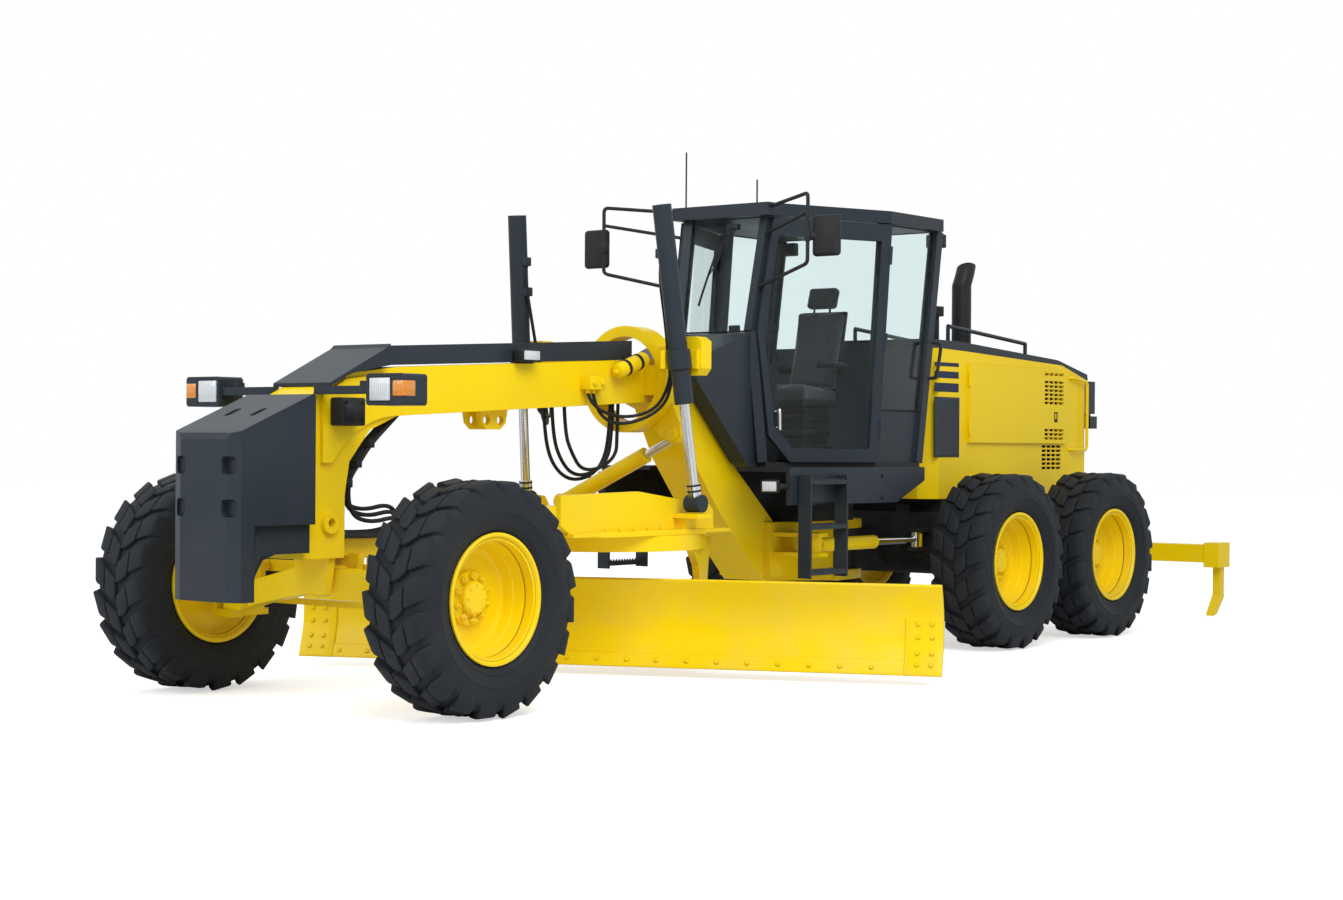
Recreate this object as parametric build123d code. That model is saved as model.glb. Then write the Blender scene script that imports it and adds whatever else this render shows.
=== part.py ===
from build123d import *
import os
from math import sin, cos, pi

# Motor grader, lengths in millimetres, forward is +X, left is +Y, up is +Z.
# Every station is first measured from the ground point under the front axle;
# the last lines move the whole machine so the origin is its bottom centre.

# Driving sizes
WHEELBASE = 6495.0       # front axle to the middle of the tandem
TANDEM_BASE = 1525.0     # between the two rear wheels of one side
HALF_TREAD = 1120.0      # centreline to the middle of a tyre
TYRE_R = 653.0           # out to the lug tips
TYRE_W = 445.0           # tyre section
SEAT_R = 318.0           # bead seat of the rim
LUGS = 20                # lugs in each of a tyre's two rows
LUG_TALL = 34.0          # lug height at the middle of the tread
LUG_IN = 14.0            # half of the gap between the two rows
FLANGE_Y = 165.0         # inner face of a rim flange
BEAD_Y = FLANGE_Y - 0.3  # outer face of the tyre's bead
RIM_SIDES = 24           # flats round a rim
FIT = 0.3                # clearance between pieces that touch

NOSE_X = 940.0           # front face of the push block
HEAD_X = 365.0           # front face of the head column
BEAM_HALF = 170.0        # half width of the front frame
BEAM_Z = 1655.0          # underside of the beam at its front
BEAM_TALL = 286.0        # height of the beam
BEAM_RISE = 0.053        # climb of the beam per millimetre going back
COVER_TALL = 126.0       # dark cover on top of the beam

PIVOT_X = -WHEELBASE + 1145.0   # articulation pin, just behind the cab
RING_X = PIVOT_X + 2600.0       # saddle ring round the beam
RING_Z = 1934.0
RING_R = 356.0
CIRCLE_X = PIVOT_X + 2950.0     # centre of the circle
CIRCLE_R = 720.0
BALL_X = -400.0          # drawbar ball
BALL_Z = 800.0

BLADE_LEN = 4330.0       # moldboard with its end bits
BLADE_DEG = 23.0         # the angle it is parked at
BLADE_SHIFT = 160.0      # parked side shift, to the left
EDGE_X = 235.0           # cutting edge ahead of the circle's centre
EDGE_Z = 65.0            # cutting edge above the ground
BLADE_TALL = 560.0

CAB_FLOOR = 1380.0
CAB_TOP = 3100.0
DOOR_B = 750.0           # half width of the cab at the rear of its doors
DOOR_A = 374.0           # half width at the windscreen's top
ROOF_THICK = 90.0

HOOD_HALF = 600.0
HOOD_FRONT = PIVOT_X - 270.0
HOOD_LEN = 2460.0
HOOD_LOW = 1100.0
HOOD_TOP = 2235.0
SKIN = 12.0

RIPPER_X = PIVOT_X - 3100.0     # ripper hinge
RIPPER_Z = 900.0
RIPPER_REACH = 1100.0
RIPPER_HALF = 1150.0
RIPPER_PIN = 32.0

AXLE_Z = TYRE_R
KING_Y = HALF_TREAD - 290.0      # king pin
LEAN_Y = KING_Y - 140.0          # pin the wheel leans on
LEAN_Z = AXLE_Z - 93.0
LEAN_BAR_Z = LEAN_Z + 200.0
OSC_Z = AXLE_Z + 47.0
OSC_R = 45.0             # pin the front axle rocks on
TANDEM_X = -WHEELBASE
CASE_IN = HALF_TREAD - 400.0     # inner face of a tandem case
CASE_OUT = HALF_TREAD - 270.0
ARTIC_Y = HALF_TREAD - 620.0     # articulation cylinders

nodes = {}


def block(x0, x1, y0, y1, z0, z1):
    """A box between two corners."""
    return Pos((x0 + x1) / 2, (y0 + y1) / 2, (z0 + z1) / 2) * Box(x1 - x0, y1 - y0, z1 - z0)


def side_plate(points, y0, y1):
    """A plate drawn in side view, from y0 to y1."""
    face = make_face(Polyline(*[(x, y0, z) for x, z in points], close=True))
    return extrude(face, amount=y1 - y0, dir=(0, 1, 0))


def flat_plate(points, z0, z1):
    """A plate drawn in plan, from z0 to z1."""
    face = make_face(Polyline(*[(x, y, z0) for x, y in points], close=True))
    return extrude(face, amount=z1 - z0, dir=(0, 0, 1))


def cross_plate(points, x0, x1):
    """A plate drawn in front view, from x0 to x1."""
    face = make_face(Polyline(*[(x0, y, z) for y, z in points], close=True))
    return extrude(face, amount=x1 - x0, dir=(1, 0, 0))


def rod(p, q, r):
    """A round bar from p to q."""
    p, q = Vector(*p), Vector(*q)
    line = Plane(origin=p, z_dir=q - p)
    return line * Cylinder(r, (q - p).length, align=(Align.CENTER, Align.CENTER, Align.MIN))


def bar(p, q, w, h):
    """A square bar from p to q, w across and h tall."""
    p, q = Vector(*p), Vector(*q)
    way = q - p
    across = Vector(0, 0, 1).cross(way)
    if across.length < 1e-6:
        across = Vector(0, 1, 0)
    line = Plane(origin=p, x_dir=across, z_dir=way)
    return line * Box(w, h, way.length, align=(Align.CENTER, Align.CENTER, Align.MIN))


def other_side(shape):
    """The same piece on the right of the machine."""
    return mirror(shape, about=Plane.XZ)


def both(shape):
    """A piece with its twin on the right."""
    return [shape, other_side(shape)]


def put(name, *shapes):
    """Fuse the shapes of one node and keep it under its name."""
    whole = shapes[0]
    if len(shapes) > 1:
        whole = whole + list(shapes[1:])
    nodes[name] = whole


def flat_ring(profile, sides):
    """A ring round the Y axis with flat faces, from (y, r) points of its section."""
    def corner(i, k):
        y, r = profile[i % len(profile)]
        a = 2 * pi * (k + 0.5) / sides
        return Vector(r * cos(a), y, r * sin(a))

    faces = []
    for k in range(sides):
        for i in range(len(profile)):
            loop = [corner(i, k), corner(i + 1, k), corner(i + 1, k + 1), corner(i, k + 1)]
            faces.append(Face(Wire.make_polygon(loop)))
    return Solid(Shell(faces))


def ring_of(y, r, angles):
    """Points round the Y axis, each kept with its angle."""
    return [(a, Vector(r * cos(a), y, r * sin(a))) for a in angles]


def strip(low, high):
    """Triangles between two closed rings of points, stepping whichever lags."""
    faces = []
    i = j = 0
    while i < len(low) or j < len(high):
        turn_i, turn_j = low[i % len(low)], high[j % len(high)]
        next_i, next_j = low[(i + 1) % len(low)], high[(j + 1) % len(high)]
        ahead_i = next_i[0] + 2 * pi * ((i + 1) // len(low))
        ahead_j = next_j[0] + 2 * pi * ((j + 1) // len(high))
        if j == len(high) or (i < len(low) and ahead_i <= ahead_j):
            faces.append((turn_i[1], next_i[1], turn_j[1]))
            i += 1
        else:
            faces.append((turn_i[1], next_j[1], turn_j[1]))
            j += 1
    return faces


# Tyre: two staggered rows of slanting lugs on a flat-sided carcass
def tyre():
    half = TYRE_W / 2
    pitch = 2 * pi / LUGS
    wide = 0.60 * pitch
    slant = 0.42 * pitch
    bore = (SEAT_R + FIT) / cos(pi / LUGS)
    faces = []
    roots = {}
    bores = {}
    for side, stagger in ((1, 0.0), (-1, 0.5)):
        mids = [pitch * (k + stagger) for k in range(LUGS)]
        feet = [a + d for a in mids for d in (-wide / 2, wide / 2)]
        ends = [a + slant for a in feet]
        root = ring_of(side * LUG_IN, TYRE_R - LUG_TALL, feet)
        edge = ring_of(side * (half - 14), TYRE_R - 94, ends)
        tip_in = ring_of(side * LUG_IN, TYRE_R, feet)
        tip_out = ring_of(side * (half - 24), TYRE_R - 14, ends)
        for k in range(0, 2 * LUGS, 2):
            f0, f1, f2 = root[k][1], root[k + 1][1], root[(k + 2) % (2 * LUGS)][1]
            e0, e1, e2 = edge[k][1], edge[k + 1][1], edge[(k + 2) % (2 * LUGS)][1]
            t0, t1, o0, o1 = tip_in[k][1], tip_in[k + 1][1], tip_out[k][1], tip_out[k + 1][1]
            faces += [(t0, t1, o1), (t0, o1, o0), (f0, t0, o0), (f0, o0, e0), (f1, t1, o1), (f1, o1, e1),
                      (f0, f1, t1), (f0, t1, t0), (e0, o0, o1), (e0, o1, e1), (f1, f2, e2), (f1, e2, e1)]
        middle = [a + slant for a in mids]
        bulge = ring_of(side * half, TYRE_R - 173, middle)
        bead = ring_of(side * BEAD_Y, SEAT_R + 54, middle)
        inner = ring_of(side * BEAD_Y, bore, middle)
        faces += strip(edge, bulge) + strip(bulge, bead) + strip(bead, inner)
        roots[side], bores[side] = root, inner
    faces += strip(roots[1], roots[-1]) + strip(bores[1], bores[-1])
    return Solid(Shell([Face(Wire.make_polygon(list(three))) for three in faces]))


def drum(y0, y1, r):
    """A flat-sided disc round the Y axis."""
    return Rot(90, 0, 0) * extrude(Pos(0, 0, -y1) * RegularPolygon(r, RIM_SIDES), amount=y1 - y0)


# Rim: two flanges, the seat, a deep dish with its wheel disc, hub and cap
def rim():
    loop = [(185, 364), (FLANGE_Y, 364), (FLANGE_Y, SEAT_R), (-FLANGE_Y, SEAT_R), (-FLANGE_Y, 364), (-185, 364),
            (-185, 335), (-70, 290), (-70, 120), (-40, 120), (-40, 285), (185, 345)]
    return flat_ring(loop, RIM_SIDES) + [drum(-70, -10, 150), drum(-12, 35, 95)]


TYRE = tyre()
RIM = rim()
stations = {"front": 0.0, "middle": TANDEM_X + TANDEM_BASE / 2, "rear": TANDEM_X - TANDEM_BASE / 2}
for where, x in stations.items():
    seat = Pos(x, HALF_TREAD, AXLE_Z)
    nodes["tyre_" + where + "_left"] = seat * TYRE
    nodes["rim_" + where + "_left"] = seat * RIM
    nodes["tyre_" + where + "_right"] = other_side(seat * TYRE)
    nodes["rim_" + where + "_right"] = other_side(seat * RIM)


# Front frame: head column, sloping beam, gooseneck and the articulation yoke
def beam_low(x):
    return BEAM_Z - BEAM_RISE * (x + 375)


def beam_top(x):
    return beam_low(x) + BEAM_TALL


YOKE_LOW = 500.0
YOKE_TOP = 950.0
frame_side = [
    (HEAD_X, 840), (HEAD_X, 1740), (60, 1890), (-375, beam_top(-375)), (RING_X - 120, beam_top(RING_X - 120)),
    (RING_X - 300, 2010), (RING_X - 510, 1790), (RING_X - 980, 1325), (RING_X - 1430, YOKE_TOP),
    (PIVOT_X + 400, YOKE_TOP), (PIVOT_X + 400, YOKE_LOW), (RING_X - 1300, YOKE_LOW + 35),
    (RING_X - 800, 1010), (RING_X - 460, 1400), (RING_X - 260, beam_low(RING_X) - 40),
    (RING_X - 120, beam_low(RING_X - 120)), (-375, beam_low(-375)), (-150, 1570), (10, 1390), (45, 1200), (45, 840),
]
yoke_plan = [(PIVOT_X + 420, -220), (PIVOT_X + 420, 220), (PIVOT_X + 60, 165), (PIVOT_X - 60, 120),
             (PIVOT_X - 110, 0), (PIVOT_X - 60, -120), (PIVOT_X + 60, -165)]
ARTIC_FRONT = (PIVOT_X + 1124, ARTIC_Y, 795.0)
ARTIC_REAR = (PIVOT_X - 230, ARTIC_Y, 795.0)
ear = flat_plate([(ARTIC_FRONT[0] + 130, 160), (ARTIC_FRONT[0] + 60, ARTIC_Y + 70),
                  (ARTIC_FRONT[0] - 60, ARTIC_Y + 70), (ARTIC_FRONT[0] - 190, 160)], 850, 880)
hanger = [(-110, OSC_Z - 70), (110, OSC_Z - 70), (150, 860), (-150, 860)]
ball_arm = side_plate([(60, 845), (60, 1000), (BALL_X + 60, BALL_Z + 150), (BALL_X - 5, BALL_Z + 130),
                       (BALL_X - 5, BALL_Z + 60), (BALL_X + 70, BALL_Z + 20), (-150, 845)], -60, 60)
lug_x = -1310.0
lug_z = beam_low(lug_x)
under_lug = side_plate([(lug_x - 130, lug_z + 10), (lug_x - 110, lug_z - 80), (lug_x - 60, lug_z - 120),
                        (lug_x + 60, lug_z - 120), (lug_x + 110, lug_z - 80), (lug_x + 130, lug_z + 10)], 40, 75)
for dx in (-62, 62):
    under_lug -= rod((lug_x + dx, 30, lug_z - 62), (lug_x + dx, 85, lug_z - 62), 30)
neck_line = Polyline((-380, BEAM_HALF, 1654), (-380, BEAM_HALF, 1910), (60, BEAM_HALF, 1860), (240, BEAM_HALF, 1760),
                     (240, BEAM_HALF, 1381), (162, BEAM_HALF, 1381))
neck_sweep = ThreePointArc((162, BEAM_HALF, 1381), (-64, BEAM_HALF, 1581), (-380, BEAM_HALF, 1654))
neck_plate = extrude(make_face([neck_line, neck_sweep]), amount=25, dir=(0, 1, 0))
put("front_frame",
    side_plate(frame_side, -BEAM_HALF, BEAM_HALF),
    block(ARTIC_FRONT[0] - 220, ARTIC_FRONT[0] + 160, -220, 220, YOKE_LOW + 60, YOKE_TOP),
    flat_plate(yoke_plan, YOKE_LOW, YOKE_LOW + 70), flat_plate(yoke_plan, YOKE_TOP - 70, YOKE_TOP),
    cross_plate(hanger, 90 + FIT, 140), cross_plate(hanger, -140, -90 - FIT), ball_arm,
    rod((170, -BEAM_HALF - 30, 1042), (170, BEAM_HALF + 30, 1042), 62),
    *both(neck_plate), rod((-140, 0, OSC_Z), (140, 0, OSC_Z), OSC_R),
    *both(ear), *both(Pos(0, 0, -140) * ear), *both(under_lug))
nodes["front_frame"] -= rod((170, -300, 1042), (170, 300, 1042), 26)
nodes["front_frame"] -= Pos(BALL_X, 0, BALL_Z) * Sphere(74 + 0.8)

# Dark covers: the sloped cap behind the push block and the lid on the beam
CAP_X = -250.0
cap_side = [(225, 1812), (225, 1834), (CAP_X + 30, 2046), (CAP_X, beam_top(CAP_X) + COVER_TALL + 10),
            (CAP_X, beam_top(CAP_X) + 12), (60, 1890 + FIT)]
lid_side = [(CAP_X - FIT, beam_top(CAP_X) + FIT + 12), (CAP_X - FIT, beam_top(CAP_X) + COVER_TALL),
            (RING_X + 180, beam_top(RING_X + 180) + COVER_TALL), (RING_X + 180, beam_top(RING_X + 180) + FIT)]
put("frame_covers", side_plate(cap_side, -235, 235), side_plate(lid_side, -BEAM_HALF + 15, BEAM_HALF - 15))

# Push block: chamfered casting with rounded pockets, lifting slots, a recessed flank and a hook each side
face_x = HEAD_X + FIT
FLANK = 270.0
plan = [(face_x, -FLANK), (face_x, FLANK), (NOSE_X - 35, FLANK), (NOSE_X, 188), (NOSE_X, -188), (NOSE_X - 35, -FLANK)]
push_side = [(face_x, 880), (face_x, 1755), (HEAD_X + 20, 1765), (NOSE_X - 60, 1566), (NOSE_X - 12, 1545),
             (NOSE_X, 1510), (NOSE_X, 628), (NOSE_X - 165, 628), (NOSE_X - 172, 760), (NOSE_X - 230, 850),
             (NOSE_X - 320, 880)]
push = flat_plate(plan, 600, 1800) & side_plate(push_side, -FLANK - 30, FLANK + 30)
pocket = fillet(Box(90, 95, 97).edges().filter_by(Axis.X), 24)
slot = extrude(SlotOverall(110, 44), amount=160)
hook = side_plate([(NOSE_X - 150, 1000), (NOSE_X - 200, 940), (NOSE_X - 235, 940), (NOSE_X - 235, 880),
                   (NOSE_X - 190, 870), (NOSE_X - 140, 800)], FLANK - 60, FLANK - 15)
for g in (1, -1):
    flank = sorted((g * (FLANK - 45), g * (FLANK + 50)))
    push -= block(face_x - 10, NOSE_X - 130, flank[0], flank[1], 600, 1040)
    for z in (1136, 1369):
        push -= Pos(NOSE_X + 5, g * (FLANK - 75), z) * pocket
    push -= Pos(NOSE_X - 300, g * 105, 1560) * slot
put("push_block", push, *both(hook))

# Head lamps on a square bar across the head column
lamp_x = 265.0
lamp = fillet(block(lamp_x - 140, lamp_x + 45, 605, 891, 1701, 1876).edges().filter_by(Axis.X), 22)
lamp -= block(lamp_x + 33, lamp_x + 60, 625, 790, 1721, 1856)
bar_half = block(lamp_x - 25 + FIT, lamp_x + 25, BEAM_HALF + FIT, 640, 1766, 1812)
put("headlamp_bar", *both(bar_half), *both(lamp), *both(block(lamp_x - 60, lamp_x - 10, 500, 560, 1800, 1840)))

# Saddle: ring round the beam, two arms to the lift cylinders, the lower lobe
ring = Pos(RING_X, 0, RING_Z) * (Rot(0, 90, 0) * (Cylinder(RING_R, 150) - Cylinder(RING_R - 72, 150)))
cheek_block = block(RING_X - 70, RING_X + 70, BEAM_HALF + FIT, RING_R - 60, RING_Z - 110, RING_Z + 90)
LIFT_TOP = Vector(RING_X + 460, 618, 3020)
LIFT_EYE = Vector(RING_X + 225, 727, 1120)
LIFT_WAY = (LIFT_TOP - LIFT_EYE).normalized()


def on_lift(z):
    """The point of the left lift cylinder's axis at height z."""
    return LIFT_EYE + LIFT_WAY * ((z - LIFT_EYE.Z) / LIFT_WAY.Z)


hub = on_lift(2045)
arm = bar((RING_X - 20, 250, 2060), (hub.X - 120, hub.Y, 2090), 110, 150)
yoke = cross_plate([(hub.Y - 115, 1990), (hub.Y - 40, 1945), (hub.Y + 80, 1945), (hub.Y + 115, 1990),
                    (hub.Y + 115, 2165), (hub.Y + 70, 2195), (hub.Y - 115, 2195)], hub.X - 190, hub.X - 82)
yoke += block(hub.X - 90, hub.X - 62, hub.Y - 95, hub.Y + 95, 1985, 2105)
cheek = block(hub.X - 80, hub.X + 50, hub.Y - 115, hub.Y - 78, 1985, 2105)
CENTRE_X = RING_X - 135.0
CENTRE_TOP = (CENTRE_X, 330.0, 1565.0)
lobe = cross_plate([(90, 1640), (330, 1760), (395, 1640), (400, 1560), (370, 1515), (320, 1503), (250, 1540)],
                   RING_X - 75, RING_X - 35)
boss = rod((RING_X - 60, CENTRE_TOP[1], CENTRE_TOP[2]), (RING_X - 10, CENTRE_TOP[1], CENTRE_TOP[2]), 44)
put("saddle", ring, *both(cheek_block), *both(arm), *both(yoke), *both(cheek), lobe, boss)
seat_bore = rod(on_lift(1900), on_lift(2200), 77 + FIT)
for hole in both(seat_bore):
    nodes["saddle"] -= hole

# Lift cylinder barrels, hung in the saddle's yokes
low, top = on_lift(1760), on_lift(3030)
barrel = rod(low, top, 62) - rod(on_lift(1830), on_lift(3000), 38) - rod(on_lift(1750), on_lift(1840), 32 + FIT)
collar = rod(on_lift(1985), on_lift(2105), 77)
collar -= rod(on_lift(1980), on_lift(2110), 60)
put("lift_barrels", *both(barrel + collar))
EYE_R = 58.0
lift_rod = rod(LIFT_EYE + LIFT_WAY * 20, on_lift(2450), 32)
lift_rod += rod(LIFT_EYE - Vector(0, EYE_R, 0), LIFT_EYE + Vector(0, EYE_R, 0), EYE_R)
lift_rod += rod(LIFT_EYE + LIFT_WAY * 30, LIFT_EYE + LIFT_WAY * 130, 45)
nodes["lift_rod_left"] = lift_rod
nodes["lift_rod_right"] = other_side(lift_rod)

# Front axle: beam that rocks on the head, with the ears the wheels lean on
knee = LEAN_Y - 130
beam_front = [(-LEAN_Y, 500), (-LEAN_Y, 620), (-knee, 690), (-200, 775), (200, 775), (knee, 690), (LEAN_Y, 620),
              (LEAN_Y, 500), (knee, 540), (150, 620), (-150, 620), (-knee, 540)]
axle = cross_plate(beam_front, -60, 60) + rod((-90, 0, OSC_Z), (90, 0, OSC_Z), OSC_R + 45)
axle -= rod((-100, 0, OSC_Z), (100, 0, OSC_Z), OSC_R + FIT)
for y in (-LEAN_Y, LEAN_Y):
    axle += rod((-60, y, LEAN_Z), (60, y, LEAN_Z), 60)
put("front_axle", axle)


# Lean bracket: fork on the axle's ear, king pin boss, upper ear for the lean bar
def lean_bracket():
    fork = [(LEAN_Y - 60, LEAN_Z - 20), (LEAN_Y - 60, LEAN_Z + 30), (LEAN_Y - 35, LEAN_BAR_Z + 40),
            (LEAN_Y + 35, LEAN_BAR_Z + 40), (KING_Y - 30, LEAN_Z + 210), (KING_Y - 30, LEAN_Z - 50),
            (LEAN_Y - 20, LEAN_Z - 60)]
    short = [(LEAN_Y - 60, LEAN_Z - 20), (LEAN_Y - 40, LEAN_Z + 60), (KING_Y - 30, LEAN_Z + 210),
             (KING_Y - 30, LEAN_Z - 50), (LEAN_Y - 20, LEAN_Z - 60)]
    boss = rod((0, KING_Y, LEAN_Z - 60), (0, KING_Y, LEAN_Z + 220), 50)
    web = block(-95, 95, KING_Y - 62, KING_Y - 30, LEAN_Z - 50, LEAN_Z + 210)
    ear = rod((-145 + FIT, LEAN_Y, LEAN_BAR_Z), (-80, LEAN_Y, LEAN_BAR_Z), 34)
    return boss + [cross_plate(fork, -95, -60 - FIT), cross_plate(short, 60 + FIT, 95), web, ear]


# Spindle: C-shaped knuckle on the king pin, stub for the wheel, steering arm with its pin
ARM_X = -230.0
TIE_Z = LEAN_Z - 12.0
COLLAR_R = 34.0


def spindle():
    low, top = LEAN_Z - 60 - FIT, LEAN_Z + 220 + FIT
    back = KING_Y + 80
    stub = rod((0, back + 30, AXLE_Z), (0, HALF_TREAD - 70 - FIT, AXLE_Z), 80)
    knuckle = [block(-50, 50, KING_Y - 45, back + 40, low - 50, low), block(-50, 50, KING_Y - 45, back + 40, top, top + 45),
               block(-50, 50, back, back + 40, low - 50, top + 45)]
    arm = block(ARM_X - 30, 0, KING_Y - 30, KING_Y + 30, low - 45, low - 5)
    pin = rod((ARM_X, KING_Y, low - 20), (ARM_X, KING_Y, TIE_Z + 20), 18)
    return stub + knuckle + [arm, pin]


# Collar on the steering arm's pin, twelve flats, held in the tie rod's fork
def collar(bore):
    section = [(-20, COLLAR_R), (20, COLLAR_R), (20, bore), (-20, bore)]
    return Pos(ARM_X, KING_Y, TIE_Z) * (Rot(90, 0, 0) * flat_ring(section, 12))


nodes["lean_bracket_left"] = lean_bracket()
nodes["lean_bracket_right"] = other_side(lean_bracket())
nodes["spindle_left"] = spindle()
nodes["spindle_right"] = other_side(spindle() + collar(12))
nodes["tie_rod_end"] = collar(20)
put("lean_bar", block(-175, -145, -LEAN_Y - 35, LEAN_Y + 35, LEAN_BAR_Z - 35, LEAN_BAR_Z + 35))
cheek_x = COLLAR_R + FIT
cheeks = [block(ARM_X + x, ARM_X + x + 10, KING_Y - 85, KING_Y + 18, TIE_Z - 18, TIE_Z + 18)
          for x in (cheek_x, -cheek_x - 10)]
tie = block(ARM_X - cheek_x - 10, ARM_X + cheek_x + 10, KING_Y - 85, KING_Y - 60, TIE_Z - 18, TIE_Z + 18)
put("tie_rod", block(ARM_X - 22, ARM_X + 22, -KING_Y + 70, KING_Y - 70, TIE_Z - 18, TIE_Z + 18),
    *both(cheeks[0]), *both(cheeks[1]), *both(tie))

# Drawbar: two arms from the ball, side plates, a deck with the lift lugs
deck_z = 950.0
SHELF_Z = LIFT_EYE.Z - EYE_R - 6
front_x = CIRCLE_X + 1060
left_pts = [(front_x, 1000), (front_x, 1185), (CIRCLE_X + 300, 1200), (CIRCLE_X - 250, 1128), (CIRCLE_X - 440, 1110),
            (CIRCLE_X - 485, 1070), (CIRCLE_X - 490, deck_z), (front_x - 80, deck_z)]
right_pts = [(front_x, 1000), (front_x, 1185), (CIRCLE_X + 300, 1200), (CIRCLE_X - 130, 1145), (CIRCLE_X - 230, 1000),
             (CIRCLE_X - 380, 980), (CIRCLE_X - 380, deck_z), (front_x - 80, deck_z)]
wing = bar((BALL_X - 62, 0, BALL_Z - 6), (CIRCLE_X + 1020, 520, 1060), 120, 130)
shelf = block(LIFT_EYE.X - 95, LIFT_EYE.X + 75, 600, LIFT_EYE.Y + 70, SHELF_Z - 32, SHELF_Z)
gusset = block(LIFT_EYE.X - 60, LIFT_EYE.X + 40, 600, 680, deck_z, SHELF_Z - 30)
deck_half = [(CIRCLE_X + 1000, 560), (CIRCLE_X + 620, 680), (CIRCLE_X - 280, 700), (CIRCLE_X - 350, 640)]
deck = flat_plate(deck_half + [(x, -y) for x, y in reversed(deck_half)], deck_z - 30, deck_z + 5)
deck -= Pos(CIRCLE_X, 0, deck_z) * Cylinder(330, 200)
tail = block(CIRCLE_X - 490, CIRCLE_X - 300, 545, 640, deck_z - 25, deck_z)
centre_lug = block(CENTRE_X - 40, CIRCLE_X - 360, -730, -560, deck_z - 25, deck_z + 20)
flange = block(CIRCLE_X - 620, CIRCLE_X + 990, 590, 645, deck_z - 25, deck_z)
put("drawbar", Pos(BALL_X, 0, BALL_Z) * Sphere(74), *both(wing), flange, side_plate(left_pts, 560, 600),
    side_plate(right_pts, -600, -560), *both(shelf), *both(gusset), deck, tail, centre_lug)

# Centre shift cylinder between the saddle's lobe and the drawbar
CENTRE_EYE = Vector(CENTRE_X, -690, 1099)
centre_top = Vector(*CENTRE_TOP)
centre_way = (CENTRE_EYE - centre_top).normalized()
eye_top = rod(centre_top - Vector(40, 0, 0), centre_top + Vector(60 - FIT, 0, 0), 58)
eye_low = rod(CENTRE_EYE - Vector(56, 0, 0), CENTRE_EYE + Vector(56, 0, 0), 55)
put("centre_rod", eye_top, rod(centre_top, centre_top + centre_way * 700, 28))
centre_tube = rod(centre_top + centre_way * 330, CENTRE_EYE - centre_way * 20, 55)
centre_tube -= rod(centre_top + centre_way * 380, CENTRE_EYE - centre_way * 90, 34)
centre_tube -= rod(centre_top + centre_way * 320, centre_top + centre_way * 390, 28 + FIT)
put("centre_barrel", centre_tube, eye_low)


# What the circle carries is drawn square to the machine, then turned to the parked angle
def parked(shape):
    return Pos(CIRCLE_X, 0, 0) * (Rot(0, 0, BLADE_DEG) * shape)


circle_top = deck_z - 30 - FIT
band = Pos(0, 0, circle_top - 50) * (Cylinder(CIRCLE_R, 100) - Cylinder(CIRCLE_R - 150, 100))
HEEL_X = -60.0
HEEL_Z = 300.0
HEEL_Y = 700.0
HEEL_R = 28.0            # pin the blade tips on
arm_side = [(-330, circle_top - 30), (160, circle_top - 30), (160, circle_top - 100), (20, circle_top - 200),
            (-30, 620), (-30, HEEL_Z + 60), (HEEL_X + 60, HEEL_Z - 45), (HEEL_X - 60, HEEL_Z - 45), (HEEL_X - 120, HEEL_Z + 60),
            (-260, circle_top - 200)]
leg = side_plate(arm_side, HEEL_Y - 45, HEEL_Y)
pin = rod((HEEL_X, HEEL_Y - 65, HEEL_Z), (HEEL_X, HEEL_Y + 75, HEEL_Z), HEEL_R)
put("circle", *[parked(s) for s in (band, leg, pin, other_side(leg), other_side(pin))])

# Tilt frame: two carriers hinged on the circle's arms, joined by a tube, holding the blade's rails
carrier = side_plate([(HEEL_X - 55, HEEL_Z - 40), (HEEL_X - 55, HEEL_Z + 40), (0, 560), (EDGE_X - 135, 575),
                      (EDGE_X - 135, 235), (HEEL_X + 40, HEEL_Z - 50)], HEEL_Y + FIT, HEEL_Y + 60)
carrier -= rod((HEEL_X, HEEL_Y - 10, HEEL_Z), (HEEL_X, HEEL_Y + 70, HEEL_Z), HEEL_R + FIT)
put("tilt_frame", *[parked(s) for s in both(carrier)],
    parked(block(EDGE_X - 190, EDGE_X - 150, -HEEL_Y - 60, HEEL_Y + 60, 470, 560)))


# Moldboard: rolled plate, cutting edge, end bits and the rails it slides on
def moldboard():
    half = BLADE_LEN / 2
    face = [(EDGE_X, EDGE_Z), (EDGE_X - 30, 150), (EDGE_X - 75, 260), (EDGE_X - 85, 370), (EDGE_X - 60, 480),
            (EDGE_X - 8, 575), (EDGE_X + 25, EDGE_Z + BLADE_TALL)]
    back = [(x - 24, z + 4) for x, z in reversed(face)]
    plate = side_plate(face + back, -half, half)
    rail_y = HEEL_Y + 900
    rails = [block(EDGE_X - 135 + FIT, EDGE_X - 80, -rail_y, rail_y, 430, 500),
             block(EDGE_X - 135 + FIT, EDGE_X - 70, -rail_y, rail_y, 240, 300)]
    bit_face = face[:4] + [(EDGE_X - 75, 415)]
    bit = side_plate(bit_face + [(x + 14, z) for x, z in reversed(bit_face)], half - 240, half)
    return Pos(0, BLADE_SHIFT, 0) * (plate + rails + both(bit))


put("moldboard", parked(moldboard()))


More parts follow.
